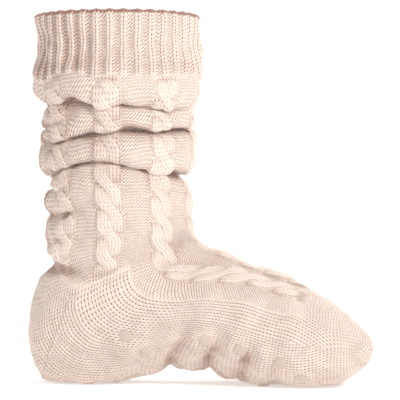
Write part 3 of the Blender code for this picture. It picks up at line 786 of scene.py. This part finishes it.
def shade_to_paint():
    """How much painted shade, in the dark rosy shade colour, each point takes."""
    at_back = 1.0 - smooth_step(*BACK_FADES, SMOOTH[:, :, 0])
    uneven = np.clip(1.0 + UNEVEN_FOLDS * OPEN, *UNEVEN_LIMITS)
    # Painted shade in the rib grooves, more at the back; the whole cuff is made a little darker.
    shade_values = (GROOVE_SHADE + GROOVE_SHADE_AT_BACK * at_back) * (RIBBED - KNIT_RIB) + CUFF_TONE * RIBBED
    # Painted shade in a band at the foot of the cuff.
    cuff_foot = (SMOOTH[:, :, 2] - CUFF_EDGE - CUFF_FOOT_HEIGHT) / CUFF_FOOT_HEIGHT
    shade_values += CUFF_FOOT_SHADE * uneven * np.exp(-(cuff_foot**2)) * RIBBED
    # Painted shade beside the cables and over the back of the sock.
    shade_values += BESIDE_SHADE * BESIDE + BACK_SHADE * at_back
    # Painted shade at the edges of the cable strands.
    strand_edge = smooth_step(*STRAND_EDGE, 1.0 - np.minimum(CABLED, 1.0))
    shade_values += (STRAND_EDGE_SHADE + STRAND_EDGE_SHADE_ON_FOOT * TURN[:, None]) * ON_STRAND * strand_edge
    # Painted shade in the folds, under the rolls and in the puckers.
    fold_shade = FOLD_SHADE * smooth_step(*FOLD_DEEPENS, PRESS)
    fold_shade += (SHADE_TONE + SHADE_TONE_AT_BACK * at_back) * SHADE
    fold_shade += PUCKER_SHADE * smooth_step(*PUCKER_DEEPENS, PUCKERED)
    shade_values += np.minimum(uneven * fold_shade, MOST_FOLD_SHADE)
    return np.clip(shade_values, 0.0, MOST_SHADE)


# The painted shade of every point of the outer knit.
PAINTED_SHADE_MAP = shade_to_paint()
print("mean hollow:", round(float(PAINTED_SHADE_MAP.mean()), 2))

# %% [markdown]
# A grip dot is silicone, printed on the knit. Where it cures it holds the wool flat, so the knit
# has to meet each dot. We read the place of every button from the solid model and ease the
# points round it towards its seat. Moving the dots would be easier, but then the sole of the
# dressed sock would not be the sole of the solid one.

# %% The knit meets its grip dots
DOT_SINKS = 0.00015
DOT_HOLDS = (0.9, 2.3)
DOTS = sorted(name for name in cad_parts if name.startswith("grip_dot"))


def button_place(node):
    """Seat, outward direction, radius and thickness of one button of the solid model."""
    points = np.array([vertex.co for vertex in node.data.vertices])
    middle = (points.min(axis=0) + points.max(axis=0)) / 2
    axis = np.linalg.svd(points - points.mean(axis=0), full_matrices=False)[2][2]
    level = (points - middle) @ axis
    reach = np.linalg.norm(points - middle - level[:, None] * axis, axis=1)
    if reach[level > 0].max() > reach[level < 0].max():
        axis, level = -axis, -level
    seat = middle + axis * level.min()
    return seat, axis, reach.max(), level.max() - level.min()


def meet_dots(grid):
    """The surface with a flat seat for every grip dot."""
    grid = grid.copy()
    for name in DOTS:
        seat, axis, radius, _ = button_place(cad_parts[name])
        away = grid + np.array(SHIFT) - seat
        near = np.nonzero(np.abs(away).max(axis=2) < DOT_HOLDS[1] * radius)
        level = away[near] @ axis
        aside = np.sqrt(np.maximum((away[near] ** 2).sum(axis=1) - level**2, 0.0))
        held = 1.0 - smooth_step(DOT_HOLDS[0] * radius, DOT_HOLDS[1] * radius, aside)
        held *= np.abs(level) < radius
        grid[near] += (held * (DOT_SINKS - level))[:, None] * axis
    return grid


KNITTED = meet_dots(FOLDED + outward(FOLDED) * HEIGHT[:, :, None])
KNITTED[:, :, 2] = np.maximum(KNITTED[:, :, 2], SOLE_PLANE)
NORMALS = outward(KNITTED)
print("dots met:", len(DOTS))

# %% [markdown]
# The surface is one long grid, and a single mesh of it would be slow to edit. So it is cut into
# six pieces where a knitter would also see a change: cuff, slouched leg, ankle, heel, foot, toe.
# The pieces share their normals across the cuts, so no cut shows in the light. Two things
# travel with the mesh for the material: its painted shade, and where a point lies in its stitch.

# %% From a grid to a mesh
LEG_MIDDLE = (0.25, 0.25, 0.0)


def tube_faces(rows, columns):
    """The four corners of every face of a tube of rings, as rows of point numbers."""
    ring_at, column_at = np.meshgrid(np.arange(rows - 1), np.arange(columns), indexing="ij")
    after = (column_at + 1) % columns
    upper, lower = ring_at * columns, (ring_at + 1) * columns
    corners = [upper + column_at, lower + column_at, lower + after, upper + after]
    return np.stack(corners, axis=-1).reshape(-1, 4)


def tube_mesh(name, points, normals, shade_values, closed=False):
    """A smooth mesh of rings of points, with painted shade at each point. closed adds a fan over the
    last ring.
    """
    rows, columns = points.shape[:2]
    faces = tube_faces(rows, columns)
    flat, turned, shade = points.reshape(-1, 3), normals.reshape(-1, 3), shade_values.ravel()
    loops, sizes = faces.ravel(), np.full(len(faces), 4)
    if closed:
        tip, last = len(flat), (rows - 1) * columns
        k = np.arange(columns)
        fan = np.stack([last + (k + 1) % columns, last + k, np.full(columns, tip)], axis=1)
        flat = np.vstack([flat, points[-1].mean(axis=0)])
        cap = normals[-1].mean(axis=0)
        turned = np.vstack([turned, cap / max(np.linalg.norm(cap), 1e-9)])
        shade = np.append(shade, shade[-columns:].mean())
        loops = np.append(loops, fan.ravel())
        sizes = np.append(sizes, np.full(columns, 3))
    mesh = bpy.data.meshes.new(name)
    mesh.vertices.add(len(flat))
    mesh.vertices.foreach_set("co", flat.astype(np.float32).ravel())
    mesh.loops.add(len(loops))
    mesh.loops.foreach_set("vertex_index", loops.astype(np.int32))
    mesh.polygons.add(len(sizes))
    starts = np.concatenate([[0], np.cumsum(sizes)[:-1]])
    mesh.polygons.foreach_set("loop_start", starts.astype(np.int32))
    mesh.update(calc_edges=True)
    mesh.shade_smooth()
    # The painted shade of each point, which the material darkens by.
    hollow = mesh.attributes.new("hollow", "FLOAT", "POINT")
    hollow.data.foreach_set("value", shade.astype(np.float32))
    mesh.normals_split_custom_set_from_vertices(turned.tolist())
    return mesh


def add_stitches(mesh, wales, courses, kinds):
    """Writes wale, course and kind of stitch to the face corners of a tube mesh."""
    rows, columns = courses.shape
    faces = tube_faces(rows, columns)
    stitch = np.tile(np.float32(LEG_MIDDLE), (len(mesh.loops), 1))
    per_corner = wales.ravel()[faces]
    ahead = np.array([0.0, 0.0, 1.0, 1.0]) / POINTS_PER_WALE
    per_corner -= np.round(per_corner - per_corner[:, :1] - ahead)
    count = faces.size
    stitch[:count, 0] = per_corner.ravel()
    stitch[:count, 1] = courses.ravel()[faces].ravel()
    stitch[:count, 2] = kinds.ravel()[faces].ravel()
    layer = mesh.attributes.new("stitch", "FLOAT_VECTOR", "CORNER")
    layer.data.foreach_set("vector", stitch.ravel())


def show(name, data):
    """A new object of the scene with this mesh, lamp or camera in it."""
    made = bpy.data.objects.new(name, data)
    bpy.context.scene.collection.objects.link(made)
    return made


def add_piece(name, mesh, material, slot, *nodes):
    """A piece of the sock: it stands for CAD nodes, rides on the one body and has a finish."""
    piece = show(name, mesh)
    mesh.materials.append(material)
    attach(piece, "root")
    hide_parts(*nodes)


print("faces of the whole tube:", (KNITTED.shape[0] - 1) * KNITTED.shape[1])

# %% [markdown]
# Next the finishes. A material in Blender is a small network of nodes. Wiring it by hand in
# Python gets long, so a wire is wrapped in a class that knows plus, minus and times. Then
# the maths of a shader reads like maths, and each operator adds its node by itself.

# %% Shader maths as plain expressions
class Wire:
    """One output socket that can be added, subtracted and multiplied."""

    def __init__(self, finish, socket):
        self.finish, self.socket = finish, socket

    def maths(self, operation, first, second):
        return self.finish.node("ShaderNodeMath", {"operation": operation}, {0: first, 1: second})

    def __add__(self, other):
        return self.maths("ADD", self, other)

    def __radd__(self, other):
        return self.maths("ADD", other, self)

    def __sub__(self, other):
        return self.maths("SUBTRACT", self, other)

    def __rsub__(self, other):
        return self.maths("SUBTRACT", other, self)

    def __mul__(self, other):
        return self.maths("MULTIPLY", self, other)

    def __rmul__(self, other):
        return self.maths("MULTIPLY", other, self)

    def sine(self):
        return self.maths("SINE", self, 0.0)

    def wave(self):
        """A cosine that is 1 at whole turns and 0 halfway between them."""
        return ((self + 0.25) * (2 * math.pi)).sine() * 0.5 + 0.5

    def fraction(self):
        return self.maths("FRACT", self, 0.0)

    def size(self):
        return self.maths("ABSOLUTE", self, 0.0)

    def clipped(self):
        limits = {0: self, 1: 0.0, 2: 1.0}
        return self.finish.node("ShaderNodeClamp", {}, limits)


class Finish:
    """A material while its nodes are being wired."""

    def __init__(self, name):
        self.material = bpy.data.materials.new(name)
        self.material.use_nodes = True
        self.tree = self.material.node_tree
        self.shader = self.tree.nodes["Principled BSDF"]

    def node(self, kind, settings, sockets, output=0):
        """Adds a node: its type, its settings, the values or wires of its sockets."""
        made = self.tree.nodes.new(kind)
        for key, value in settings.items():
            setattr(made, key, value)
        for key, value in sockets.items():
            self.feed(made.inputs[key], value)
        return Wire(self, made.outputs[output])

    def feed(self, socket, value):
        """Gives a socket a wire or a plain value."""
        if isinstance(value, Wire):
            self.tree.links.new(value.socket, socket)
        else:
            socket.default_value = value

    def mixed(self, share, first, second):
        """One colour blended into another by a share from 0 to 1."""
        sockets = {0: share, 6: first, 7: second}
        return self.node("ShaderNodeMix", {"data_type": "RGBA"}, sockets, output=2)

    def noise(self, size, detail=2.0, roughness=0.55):
        """Soft noise with blobs of about this size in metres, from 0 to 1."""
        place = self.node("ShaderNodeTexCoord", {}, {}, output="Object")
        sockets = {"Vector": place, "Scale": 1.0 / size, "Detail": detail}
        sockets["Roughness"] = roughness
        return self.node("ShaderNodeTexNoise", {"noise_dimensions": "3D"}, sockets)

    def attribute(self, name, output):
        """A number that the mesh carries at its points or corners."""
        settings = {"attribute_name": name, "attribute_type": "GEOMETRY"}
        return self.node("ShaderNodeAttribute", settings, {}, output=output)

    def feeds(self, values):
        """Gives several sockets of the main shader their wires or values."""
        for name, value in values.items():
            self.feed(self.shader.inputs[name], value)


print("a wire knows:", ", ".join(name for name in vars(Wire) if not name.startswith("_")))

# %% [markdown]
# The yarn is a soft, brushed blend: cream with some rosy beige fibre in it. Down in the
# stitches and folds light bounces from pink wool to pink wool, so the hollows look warmer and
# deeper. We add painted shade for that: the shade map of the mesh blends a dark rosy shade colour
# in, and the shader draws the two stitches once more, sharper than the mesh can, with painted shade
# in the gaps between them. Plies and fibres are far too small to model, so they are
# a bump. Wool scatters light at its edges, which the sheen stands for.

# %% The stitches, drawn by the shader
PURL_LEAN = 0.68
PURL_TAPER = 0.50
PLY_TURNS = (2.4, 1.5)
PURL_PLY_TURNS = (3.0, 2.0)


def stitch_maths(yarn):
    """Height and plies of the knit and purl stitches again, and where purl and cables lie."""
    place = {"Vector": yarn.attribute("stitch", "Vector")}
    parts = [yarn.node("ShaderNodeSeparateXYZ", {}, place, output=axis) for axis in "XYZ"]
    wale, course, kind = parts
    purl, rope = kind.clipped(), (0.0 - kind).clipped()
    across = (wale.fraction() * 2.0 - 1.0).size()
    middle = 1.0 - across
    ends = across * across * across
    legs = 1.0 - ends - middle * middle * middle * LEG_GROOVE
    beads = (course - across * LEG_SLANT).wave() * BEAD_SHARE + (1.0 - BEAD_SHARE)
    knit = legs * beads + (1.0 - legs) * (1.0 - course.wave()) * BRIDGE_HEIGHT
    bars = (course + (wale.fraction() - 0.5) * PURL_LEAN).wave()
    bars = bars * (1.0 - ends * ends * PURL_TAPER)
    plies = ((across * PLY_TURNS[0] + course * PLY_TURNS[1]) * (2 * math.pi)).sine()
    purl_plies = (wale * PURL_PLY_TURNS[0] + course * PURL_PLY_TURNS[1]) * (2 * math.pi)
    height = knit * (1.0 - purl) + bars * purl
    return height, plies * (1.0 - purl) + purl_plies.sine() * purl, purl, rope


# %% The yarn
YARN_LIGHT = (0.890, 0.785, 0.710, 1.0)
YARN_BEIGE = (0.770, 0.625, 0.540, 1.0)
# The dark rosy colour that painted shade blends in.
SHADE_COLOUR = (0.310, 0.156, 0.116, 1.0)
MELANGE_BLOBS, PATCH_BLOBS, UNEVEN_BLOBS, FIBRE_BLOBS = 0.0012, 0.016, 0.0030, 0.00035
GAP_WIDTH, PURL_GAP_LESS = 1.20, 0.32
GAP_EDGE, PURL_EDGE_MORE = 1.45, 1.00
# How dark the painted shade in the stitch gaps is.
GAP_SHADE_DARKNESS, PURL_GAP_SHADE_LESS, ROPE_GAP_SHADE_LESS = 1.50, 0.10, 0.75
# Less painted shade on purl and on cables.
PURL_LIGHTER, ROPE_LIGHTER = 0.14, 0.02
BEIGE_SPECKS, BEIGE_PATCHES, BEIGE_FROM = 1.9, 0.5, 0.95
SPECK_TONE, TONE_FROM, UNEVEN_TONE = 0.20, 0.14, 0.24
FIBRE_GRAIN, PLY_GRAIN, STITCH_GRAIN = 0.7, 0.12, 1.3
WOOL_ROUGHNESS, SPECK_ROUGHNESS = 0.80, 0.16
SHEEN = {"Sheen Weight": 0.22, "Sheen Roughness": 0.45, "Specular IOR Level": 0.20}


def brushed_yarn(name, depth, stitched=True):
    """The wool of the sock, with painted shade. depth is how strongly the painted shade map darkens
    it.
    """
    yarn = Finish(name)
    melange = yarn.noise(MELANGE_BLOBS, detail=3.0, roughness=0.65)
    patches = yarn.noise(PATCH_BLOBS)
    grain = yarn.noise(FIBRE_BLOBS, detail=4.0, roughness=0.7)
    blend = melange * BEIGE_SPECKS + patches * BEIGE_PATCHES - BEIGE_FROM
    # Painted shade from the mesh, plus darker specks of the beige fibre.
    shade_and_specks = yarn.attribute("hollow", "Fac") * depth + melange * SPECK_TONE - TONE_FROM
    if stitched:
        height, plies, purl, rope = stitch_maths(yarn)
        # Painted shade in the gaps between knit legs and purl bars, less on the cables.
        gap_shade = GAP_WIDTH - purl * PURL_GAP_LESS - height * (GAP_EDGE + purl * PURL_EDGE_MORE)
        gap_shade = gap_shade.clipped()
        gap_darkness = GAP_SHADE_DARKNESS - purl * PURL_GAP_SHADE_LESS - rope * ROPE_GAP_SHADE_LESS
        uneven = yarn.noise(UNEVEN_BLOBS)
        shade_and_specks = shade_and_specks + gap_shade * gap_shade * gap_darkness * (uneven + 0.5)
        shade_and_specks = shade_and_specks + (uneven - 0.5) * UNEVEN_TONE - purl * PURL_LIGHTER - rope * ROPE_LIGHTER
        grain = grain * FIBRE_GRAIN + plies * PLY_GRAIN + height * STITCH_GRAIN
    colour = yarn.mixed(blend.clipped(), YARN_LIGHT, YARN_BEIGE)
    # The painted shade is mixed into the colour here.
    colour = yarn.mixed(shade_and_specks.clipped(), colour, SHADE_COLOUR)
    bump = {"Strength": 0.60, "Distance": 0.0005, "Height": grain}
    normal = yarn.node("ShaderNodeBump", {}, bump)
    yarn.feeds({"Base Color": colour, "Normal": normal})
    yarn.feeds({"Roughness": melange * SPECK_ROUGHNESS + WOOL_ROUGHNESS, **SHEEN})
    return yarn.material


YARN = brushed_yarn("brushed_yarn", depth=0.60)
# The rim's yarn takes its painted shade fully, the inside's a little less.
EDGE_YARN = brushed_yarn("edge_yarn", depth=1.0, stitched=False)
INSIDE_YARN = brushed_yarn("inside_yarn", depth=0.55, stitched=False)
print("yarn materials:", YARN.name, EDGE_YARN.name, INSIDE_YARN.name)

# %% [markdown]
# With a finish at hand the six pieces of the outer surface can be made. Each takes its rings
# out of the one big grid, with one ring shared at every cut, and the last piece closes the toe
# with a fan, where a real toe is grafted shut.

# %% The outer surface
PIECES = (
    ("rib_cuff", "cuff", "slouch"),
    ("slouched_leg", "slouch", "ankle"),
    ("ankle_knit", "ankle", "heel"),
    ("heel_turn", "heel", "foot"),
    ("foot_knit", "foot", "toe"),
    ("toe_cap", "toe", None),
)

for piece_name, zone, next_zone in PIECES:
    stop = STARTS[next_zone] + 1 if next_zone else len(KNITTED)
    rows = slice(STARTS[zone], stop)
    mesh = tube_mesh(
        piece_name, KNITTED[rows], NORMALS[rows], PAINTED_SHADE_MAP[rows], closed=next_zone is None
    )
    add_stitches(mesh, STITCH_WALE[rows], COURSE[rows], KINDS[rows])
    mesh.transform(Matrix.Translation(SHIFT))
    add_piece(piece_name, mesh, YARN, "knit", "knit_body")
    print(piece_name, "faces:", len(mesh.polygons))

# %% [markdown]
# The sock is open at the top, so its inside can be seen from above. The inside of a knit shows
# the other face of the same stitches. It is made from the same rings, one wall thickness
# further in, with ribs where the outside has grooves. Fewer points are enough in the dark.

# %% The inside
INSIDE_RIB_HEIGHT = 0.0012
INSIDE_STITCH_HEIGHT = 0.0005
# The inside is painted dark with shade, a little less on its ribs.
INSIDE_SHADE, INSIDE_RIB_LESS_SHADE = 0.95, 0.5
INSIDE_ENDS = 0.6
FINE, COARSE = 2, 4


def inside_points():
    """The inner face of the wall, with the ribs and purl bars of the reverse side, and its painted
    shade.
    """
    lift = CUFF_STEP * ON_CUFF - KNIT_WALL - PRESS
    grid = soft_face(lift, SOLE_PLANE + KNIT_WALL)
    ribs = (1.0 - rib_wave(WALE)) * ON_CUFF
    height = INSIDE_RIB_HEIGHT * ribs + INSIDE_STITCH_HEIGHT * purl_height(WALE + 0.5, COURSE)
    return grid - outward(grid) * height[:, :, None], INSIDE_SHADE - INSIDE_RIB_LESS_SHADE * ribs


INSIDE, INSIDE_PAINTED_SHADE = inside_points()
INSIDE_NORMALS = -outward(INSIDE)
INSIDE_PIECES = (("inside_cuff", "cuff", "slouch", FINE), ("inside_leg", "slouch", None, COARSE))
for piece_name, zone, next_zone, step in INSIDE_PIECES:
    last_ring = STARTS["toe"] + int(INSIDE_ENDS * RINGS["toe"])
    stop = STARTS[next_zone] + 1 if next_zone else last_ring
    around = np.arange(0, COLUMNS, max(1, step * POINTS_PER_WALE // 4))[::-1]
    down = np.arange(STARTS[zone], stop, 1 if step == FINE else 3)
    pick = np.ix_(down, around)
    mesh = tube_mesh(
        piece_name, INSIDE[pick], INSIDE_NORMALS[pick], INSIDE_PAINTED_SHADE[pick], next_zone is None
    )
    mesh.transform(Matrix.Translation(SHIFT))
    add_piece(piece_name, mesh, INSIDE_YARN, "knit", "knit_body")
    print(piece_name, "faces:", len(mesh.polygons))

# %% [markdown]
# The rim is the cast-on edge of the cuff, a thin cord that wraps round the top of the wall. A
# rib pulls it into small scallops, high over the knit columns and low between them. It is a
# tube swept round the rim, with a bump for each of its loops.

# %% The rim
RIM_SIDES = 14
RIM_RADIUS = 0.0017
RIM_SCALLOP = 0.0006
RIM_LOOP = 0.00035
RIM_OVER = 0.0004
RIM_SINKS = 0.0006
RIM_HALF_TURN = 0.62 * math.pi
RIM_WIDTH = 0.92
# The rim is painted dark with shade, darkest between its loops.
RIM_SHADE, RIM_LOOP_SHADE = 0.75, 0.4


def rim_points():
    """Rings of points round the cord of the rim, one ring for each side of the cord."""
    middle = (KNITTED[0] + INSIDE[0]) / 2
    reach = np.linalg.norm(KNITTED[0] - INSIDE[0], axis=1) / 2 + RIM_OVER
    height = RIM_RADIUS + RIM_SCALLOP * (rib_wave(WALE_OF_COLUMN) - 0.5)
    height += RIM_LOOP * wave(WALE_OF_COLUMN)
    rings = []
    for turn in np.linspace(-RIM_HALF_TURN, RIM_HALF_TURN, RIM_SIDES):
        side = middle + OUTWARD[0] * (reach * np.sin(turn) * RIM_WIDTH)[:, None]
        side[:, 2] = SOCK_HEIGHT - RIM_SINKS + height * np.cos(turn)
        rings.append(side)
    return np.array(rings)


RIM = rim_points()
rim_shade_level = RIM_SHADE + RIM_LOOP_SHADE * (1.0 - wave(WALE_OF_COLUMN))
rim_painted_shade = np.repeat(rim_shade_level[None, :], RIM_SIDES, axis=0)
mesh = tube_mesh("cast_on_rim", RIM, outward(RIM), rim_painted_shade)
mesh.transform(Matrix.Translation(SHIFT))
add_piece("cast_on_rim", mesh, EDGE_YARN, "knit", "knit_body")
print("rim faces:", len(mesh.polygons))

# %% [markdown]
# Brushed wool is never sharp at its outline: thousands of loose fibre ends stand off it. Hair
# particles would do it, but they can't be exported as a mesh. So short thin ribbons are
# scattered over the knit with a fixed seed, each bent once, lying nearly along the surface.

# %% The haze of loose fibres
FIBRES = 13000
FIBRE_LENGTH = 0.0034
FIBRE_WIDTH = 0.00010
FIBRE_LIFT = 0.45
FIBRE_BEND, FIBRE_TIP, TIP_LIFT = 0.5, 0.9, 1.2
BARE_RINGS_AT_RIM, BARE_RINGS_AT_TOE = 4, 8
LONG_OR_SHORT, HIGH_OR_LOW = (0.4, 1.3), (0.3, 1.4)
FIBRE_ROOT = 0.0003
FIBRE_FLOOR = 0.0002
HAZE_BLOBS = 0.004
HAZE_ROUGHNESS, HAZE_SPREAD = 0.75, 0.2


def fibre_ribbons():
    """Points and faces of the loose fibres, two faces each."""
    dice = np.random.default_rng(7)
    rows = dice.integers(BARE_RINGS_AT_RIM, len(KNITTED) - BARE_RINGS_AT_TOE, FIBRES)
    columns = dice.integers(0, COLUMNS, FIBRES)
    roots, normals = KNITTED[rows, columns], NORMALS[rows, columns]
    aside = np.cross(normals, dice.normal(size=(FIBRES, 3)))
    aside /= np.linalg.norm(aside, axis=1, keepdims=True)
    length = (FIBRE_LENGTH * dice.uniform(*LONG_OR_SHORT, FIBRES))[:, None]
    lift = (FIBRE_LIFT * dice.uniform(*HIGH_OR_LOW, FIBRES))[:, None]
    wide = np.cross(normals, aside) * FIBRE_WIDTH / 2
    middle = roots + aside * length * FIBRE_BEND + normals * length * lift
    tips = roots + aside * length * FIBRE_TIP + normals * length * lift * TIP_LIFT
    roots = roots - normals * FIBRE_ROOT
    points = np.stack([roots - wide, roots + wide, middle - wide, middle + wide, tips], axis=1)
    points[:, :, 2] = np.maximum(points[:, :, 2], FIBRE_FLOOR)
    first = np.arange(FIBRES)[:, None] * 5
    quads = (first + np.array([0, 1, 3, 2])).tolist()
    ends = (first + np.array([2, 3, 4])).tolist()
    return points.reshape(-1, 3), quads + ends


def haze_wool():
    """The loose fibres: the same cream, a little lighter."""
    wool = Finish("haze_wool")
    tint = wool.noise(HAZE_BLOBS)
    colour = wool.mixed(tint, YARN_LIGHT, YARN_BEIGE)
    wool.feeds({"Base Color": colour, "Roughness": tint * HAZE_SPREAD + HAZE_ROUGHNESS})
    return wool.material


ribbon_points, ribbon_faces = fibre_ribbons()
mesh = bpy.data.meshes.new("wool_haze")
mesh.from_pydata(ribbon_points.tolist(), [], ribbon_faces)
mesh.transform(Matrix.Translation(SHIFT))
add_piece("wool_haze", mesh, haze_wool(), "knit", "knit_body")
print("loose fibres:", FIBRES)

# %% [markdown]
# The grip dots are drops of silicone, printed on the knit and cured. The solid model has each
# as a low faceted button. Here every button gets a smooth round drop in the same place, read by
# the helper that seated the knit, with a skirt that sinks into the wool, so that it looks
# printed on and not laid on.

# %% The grip dots
DOT_SIDES = 28
DOT_SKIRT = 0.0011
SILICONE_LIGHT = (0.69, 0.55, 0.475, 1.0)
SILICONE_DEEP = (0.57, 0.44, 0.37, 1.0)
CLOUD_BLOBS, GRAIN_BLOBS = 0.0035, 0.0012
SILICONE_ROUGHNESS, CLOUD_SPREAD = 0.28, 0.25
DOT_PROFILE = (
    (1.03, -1.00),
    (1.02, 0.00),
    (0.99, 0.35),
    (0.92, 0.68),
    (0.78, 0.90),
    (0.55, 0.985),
    (0.28, 1.00),
)


def silicone():
    """Milky soft silicone with a faint grain from the wool under it."""
    drop = Finish("grip_silicone")
    cloud = drop.noise(CLOUD_BLOBS, detail=3.0)
    colour = drop.mixed(cloud, SILICONE_LIGHT, SILICONE_DEEP)
    bump = {"Strength": 0.25, "Distance": 0.0003, "Height": drop.noise(GRAIN_BLOBS)}
    normal = drop.node("ShaderNodeBump", {}, bump)
    drop.feeds({"Base Color": colour, "Normal": normal})
    drop.feeds({"Roughness": cloud * CLOUD_SPREAD + SILICONE_ROUGHNESS})
    drop.feeds({"Subsurface Weight": 0.15, "Coat Roughness": 0.3})
    return drop.material


SILICONE = silicone()


def drop_mesh(name, node):
    """A smooth drop in the place of one button."""
    seat, axis, radius, thick = button_place(node)
    side = np.cross(axis, [0.0, 1.0, 0.0] if abs(axis[1]) < 0.8 else [1.0, 0.0, 0.0])
    side /= np.linalg.norm(side)
    other = np.cross(axis, side)
    turn = np.linspace(0.0, -2 * math.pi, DOT_SIDES, endpoint=False)
    rings = []
    for share, level in DOT_PROFILE:
        high = level * (DOT_SKIRT if level < 0 else thick)
        circle = np.cos(turn)[:, None] * side + np.sin(turn)[:, None] * other
        rings.append(seat + axis * high + circle * (radius * share))
    rings = np.array(rings)
    return tube_mesh(name, rings, outward(rings), np.zeros(rings.shape[:2]), closed=True)


for node_name in DOTS:
    mesh = drop_mesh("silicone" + node_name[8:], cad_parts[node_name])
    add_piece(mesh.name, mesh, SILICONE, "grip", node_name)
print("grip dots:", len(DOTS))

# %% [markdown]
# The studio is a white sweep: a floor that curves up into a wall. A flat floor under a white sky
# would do for a close look, but its edge would show as a horizon. A paper that bends has none.

# %% The white sweep
STUDIO_HALF_WIDTH = 4.0
STUDIO_FRONT = -3.0
STUDIO_BACK = 2.2
STUDIO_TOP = 3.0
SWEEP_RADIUS = 1.0
PAPER_GLOW = 0.35
PAPER_BLOBS = 0.004
PAPER_ROUGHNESS, PAPER_SPREAD = 0.85, 0.1
SWEEP_TURNS = np.linspace(0.1, 0.5 * math.pi, 12)
PAPER_LIGHT, PAPER_GREY = (0.93, 0.93, 0.93, 1.0), (0.90, 0.90, 0.90, 1.0)


def white_paper():
    """Matt white paper with a breath of grain."""
    paper = Finish("white_paper")
    grain = paper.noise(PAPER_BLOBS)
    colour = paper.mixed(grain, PAPER_LIGHT, PAPER_GREY)
    paper.feeds({"Base Color": colour, "Roughness": grain * PAPER_SPREAD + PAPER_ROUGHNESS})
    paper.feeds({"Emission Color": (1.0, 1.0, 1.0, 1.0), "Emission Strength": PAPER_GLOW})
    return paper.material


def sweep_profile():
    """The line of the paper from the front of the floor up the wall."""
    line = [(STUDIO_FRONT, 0.0), (STUDIO_BACK - SWEEP_RADIUS, 0.0)]
    for turn in SWEEP_TURNS:
        reach = STUDIO_BACK - SWEEP_RADIUS + SWEEP_RADIUS * math.sin(turn)
        line.append((reach, SWEEP_RADIUS * (1.0 - math.cos(turn))))
    line.append((STUDIO_BACK, STUDIO_TOP))
    return line


line = sweep_profile()
corners = [(side * STUDIO_HALF_WIDTH, y, z) for y, z in line for side in (-1, 1)]
faces = [(2 * k, 2 * k + 1, 2 * k + 3, 2 * k + 2) for k in range(len(line) - 1)]
paper_mesh = bpy.data.meshes.new("paper_sweep")
paper_mesh.from_pydata(corners, [], faces)
paper_mesh.shade_smooth()
paper_mesh.materials.append(white_paper())
show("paper_sweep", paper_mesh)
print("points in the line of the sweep:", len(line))

# %% [markdown]
# A bright white world fills the shadows as in the photograph. One world alone would leave the
# knit flat, so a large soft lamp from the front right makes the toe side the bright one and lets
# each stitch cast its own shade. A weak rosy lamp from the left keeps the heel side from going
# grey, and a third one from behind draws the outline.

# %% Light
WORLD_COLOUR = (1.0, 0.985, 0.965, 1.0)
WORLD_STRENGTH = 0.54
LAMP_COLUMNS = ("name", "place", "size", "power", "colour")
LAMPS = (
    ("key", (0.95, -0.95, 0.95), 0.45, 14.4, (1.0, 0.985, 0.965)),
    ("fill", (-1.10, -0.90, 0.25), 1.00, 3.5, (1.0, 0.88, 0.84)),
    ("back", (0.40, 1.00, 1.10), 0.70, 9.0, (1.0, 0.98, 0.96)),
)
MIDDLE = Vector((0.0, 0.0, SOCK_HEIGHT / 2))

world = bpy.data.worlds.new("studio")
world.use_nodes = True
world.node_tree.nodes["Background"].inputs["Color"].default_value = WORLD_COLOUR
world.node_tree.nodes["Background"].inputs["Strength"].default_value = WORLD_STRENGTH
bpy.context.scene.world = world
bpy.context.scene.view_settings.view_transform = "Standard"
for row in rows_of(LAMP_COLUMNS, LAMPS):
    lamp = bpy.data.lights.new(row["name"], "AREA")
    lamp.size, lamp.energy, lamp.color = row["size"], row["power"], row["colour"]
    holder = show(row["name"], lamp)
    holder.location = row["place"]
    holder.rotation_euler = (MIDDLE - holder.location).to_track_quat("-Z", "Y").to_euler()
print("lamps:", len(LAMPS))

# %% [markdown]
# The photograph was taken level with the sock, nearly square on to its inner side. A camera
# without perspective would come close, but the far rim would look wrong. So this one has a lens
# and stands far off, which keeps the perspective as gentle as in the photograph.

# %% The camera
CAMERA_AZIMUTH = math.radians(6.0)
CAMERA_DISTANCE = 1.35
CAMERA_VIEW = 0.282
lens = bpy.data.cameras.new("camera")
lens.angle = 2 * math.atan(CAMERA_VIEW / 2 / CAMERA_DISTANCE)
camera = show("camera", lens)
away = Vector((math.sin(CAMERA_AZIMUTH), -math.cos(CAMERA_AZIMUTH), 0.0))
camera.location = MIDDLE + away * CAMERA_DISTANCE
camera.rotation_euler = (-away).to_track_quat("-Z", "Y").to_euler()
bpy.context.scene.camera = camera
print("camera sees, mm:", round(1000 * CAMERA_VIEW))

# %% [markdown] The sock, its grip dots, the studio, the lamps and the camera are in place now.
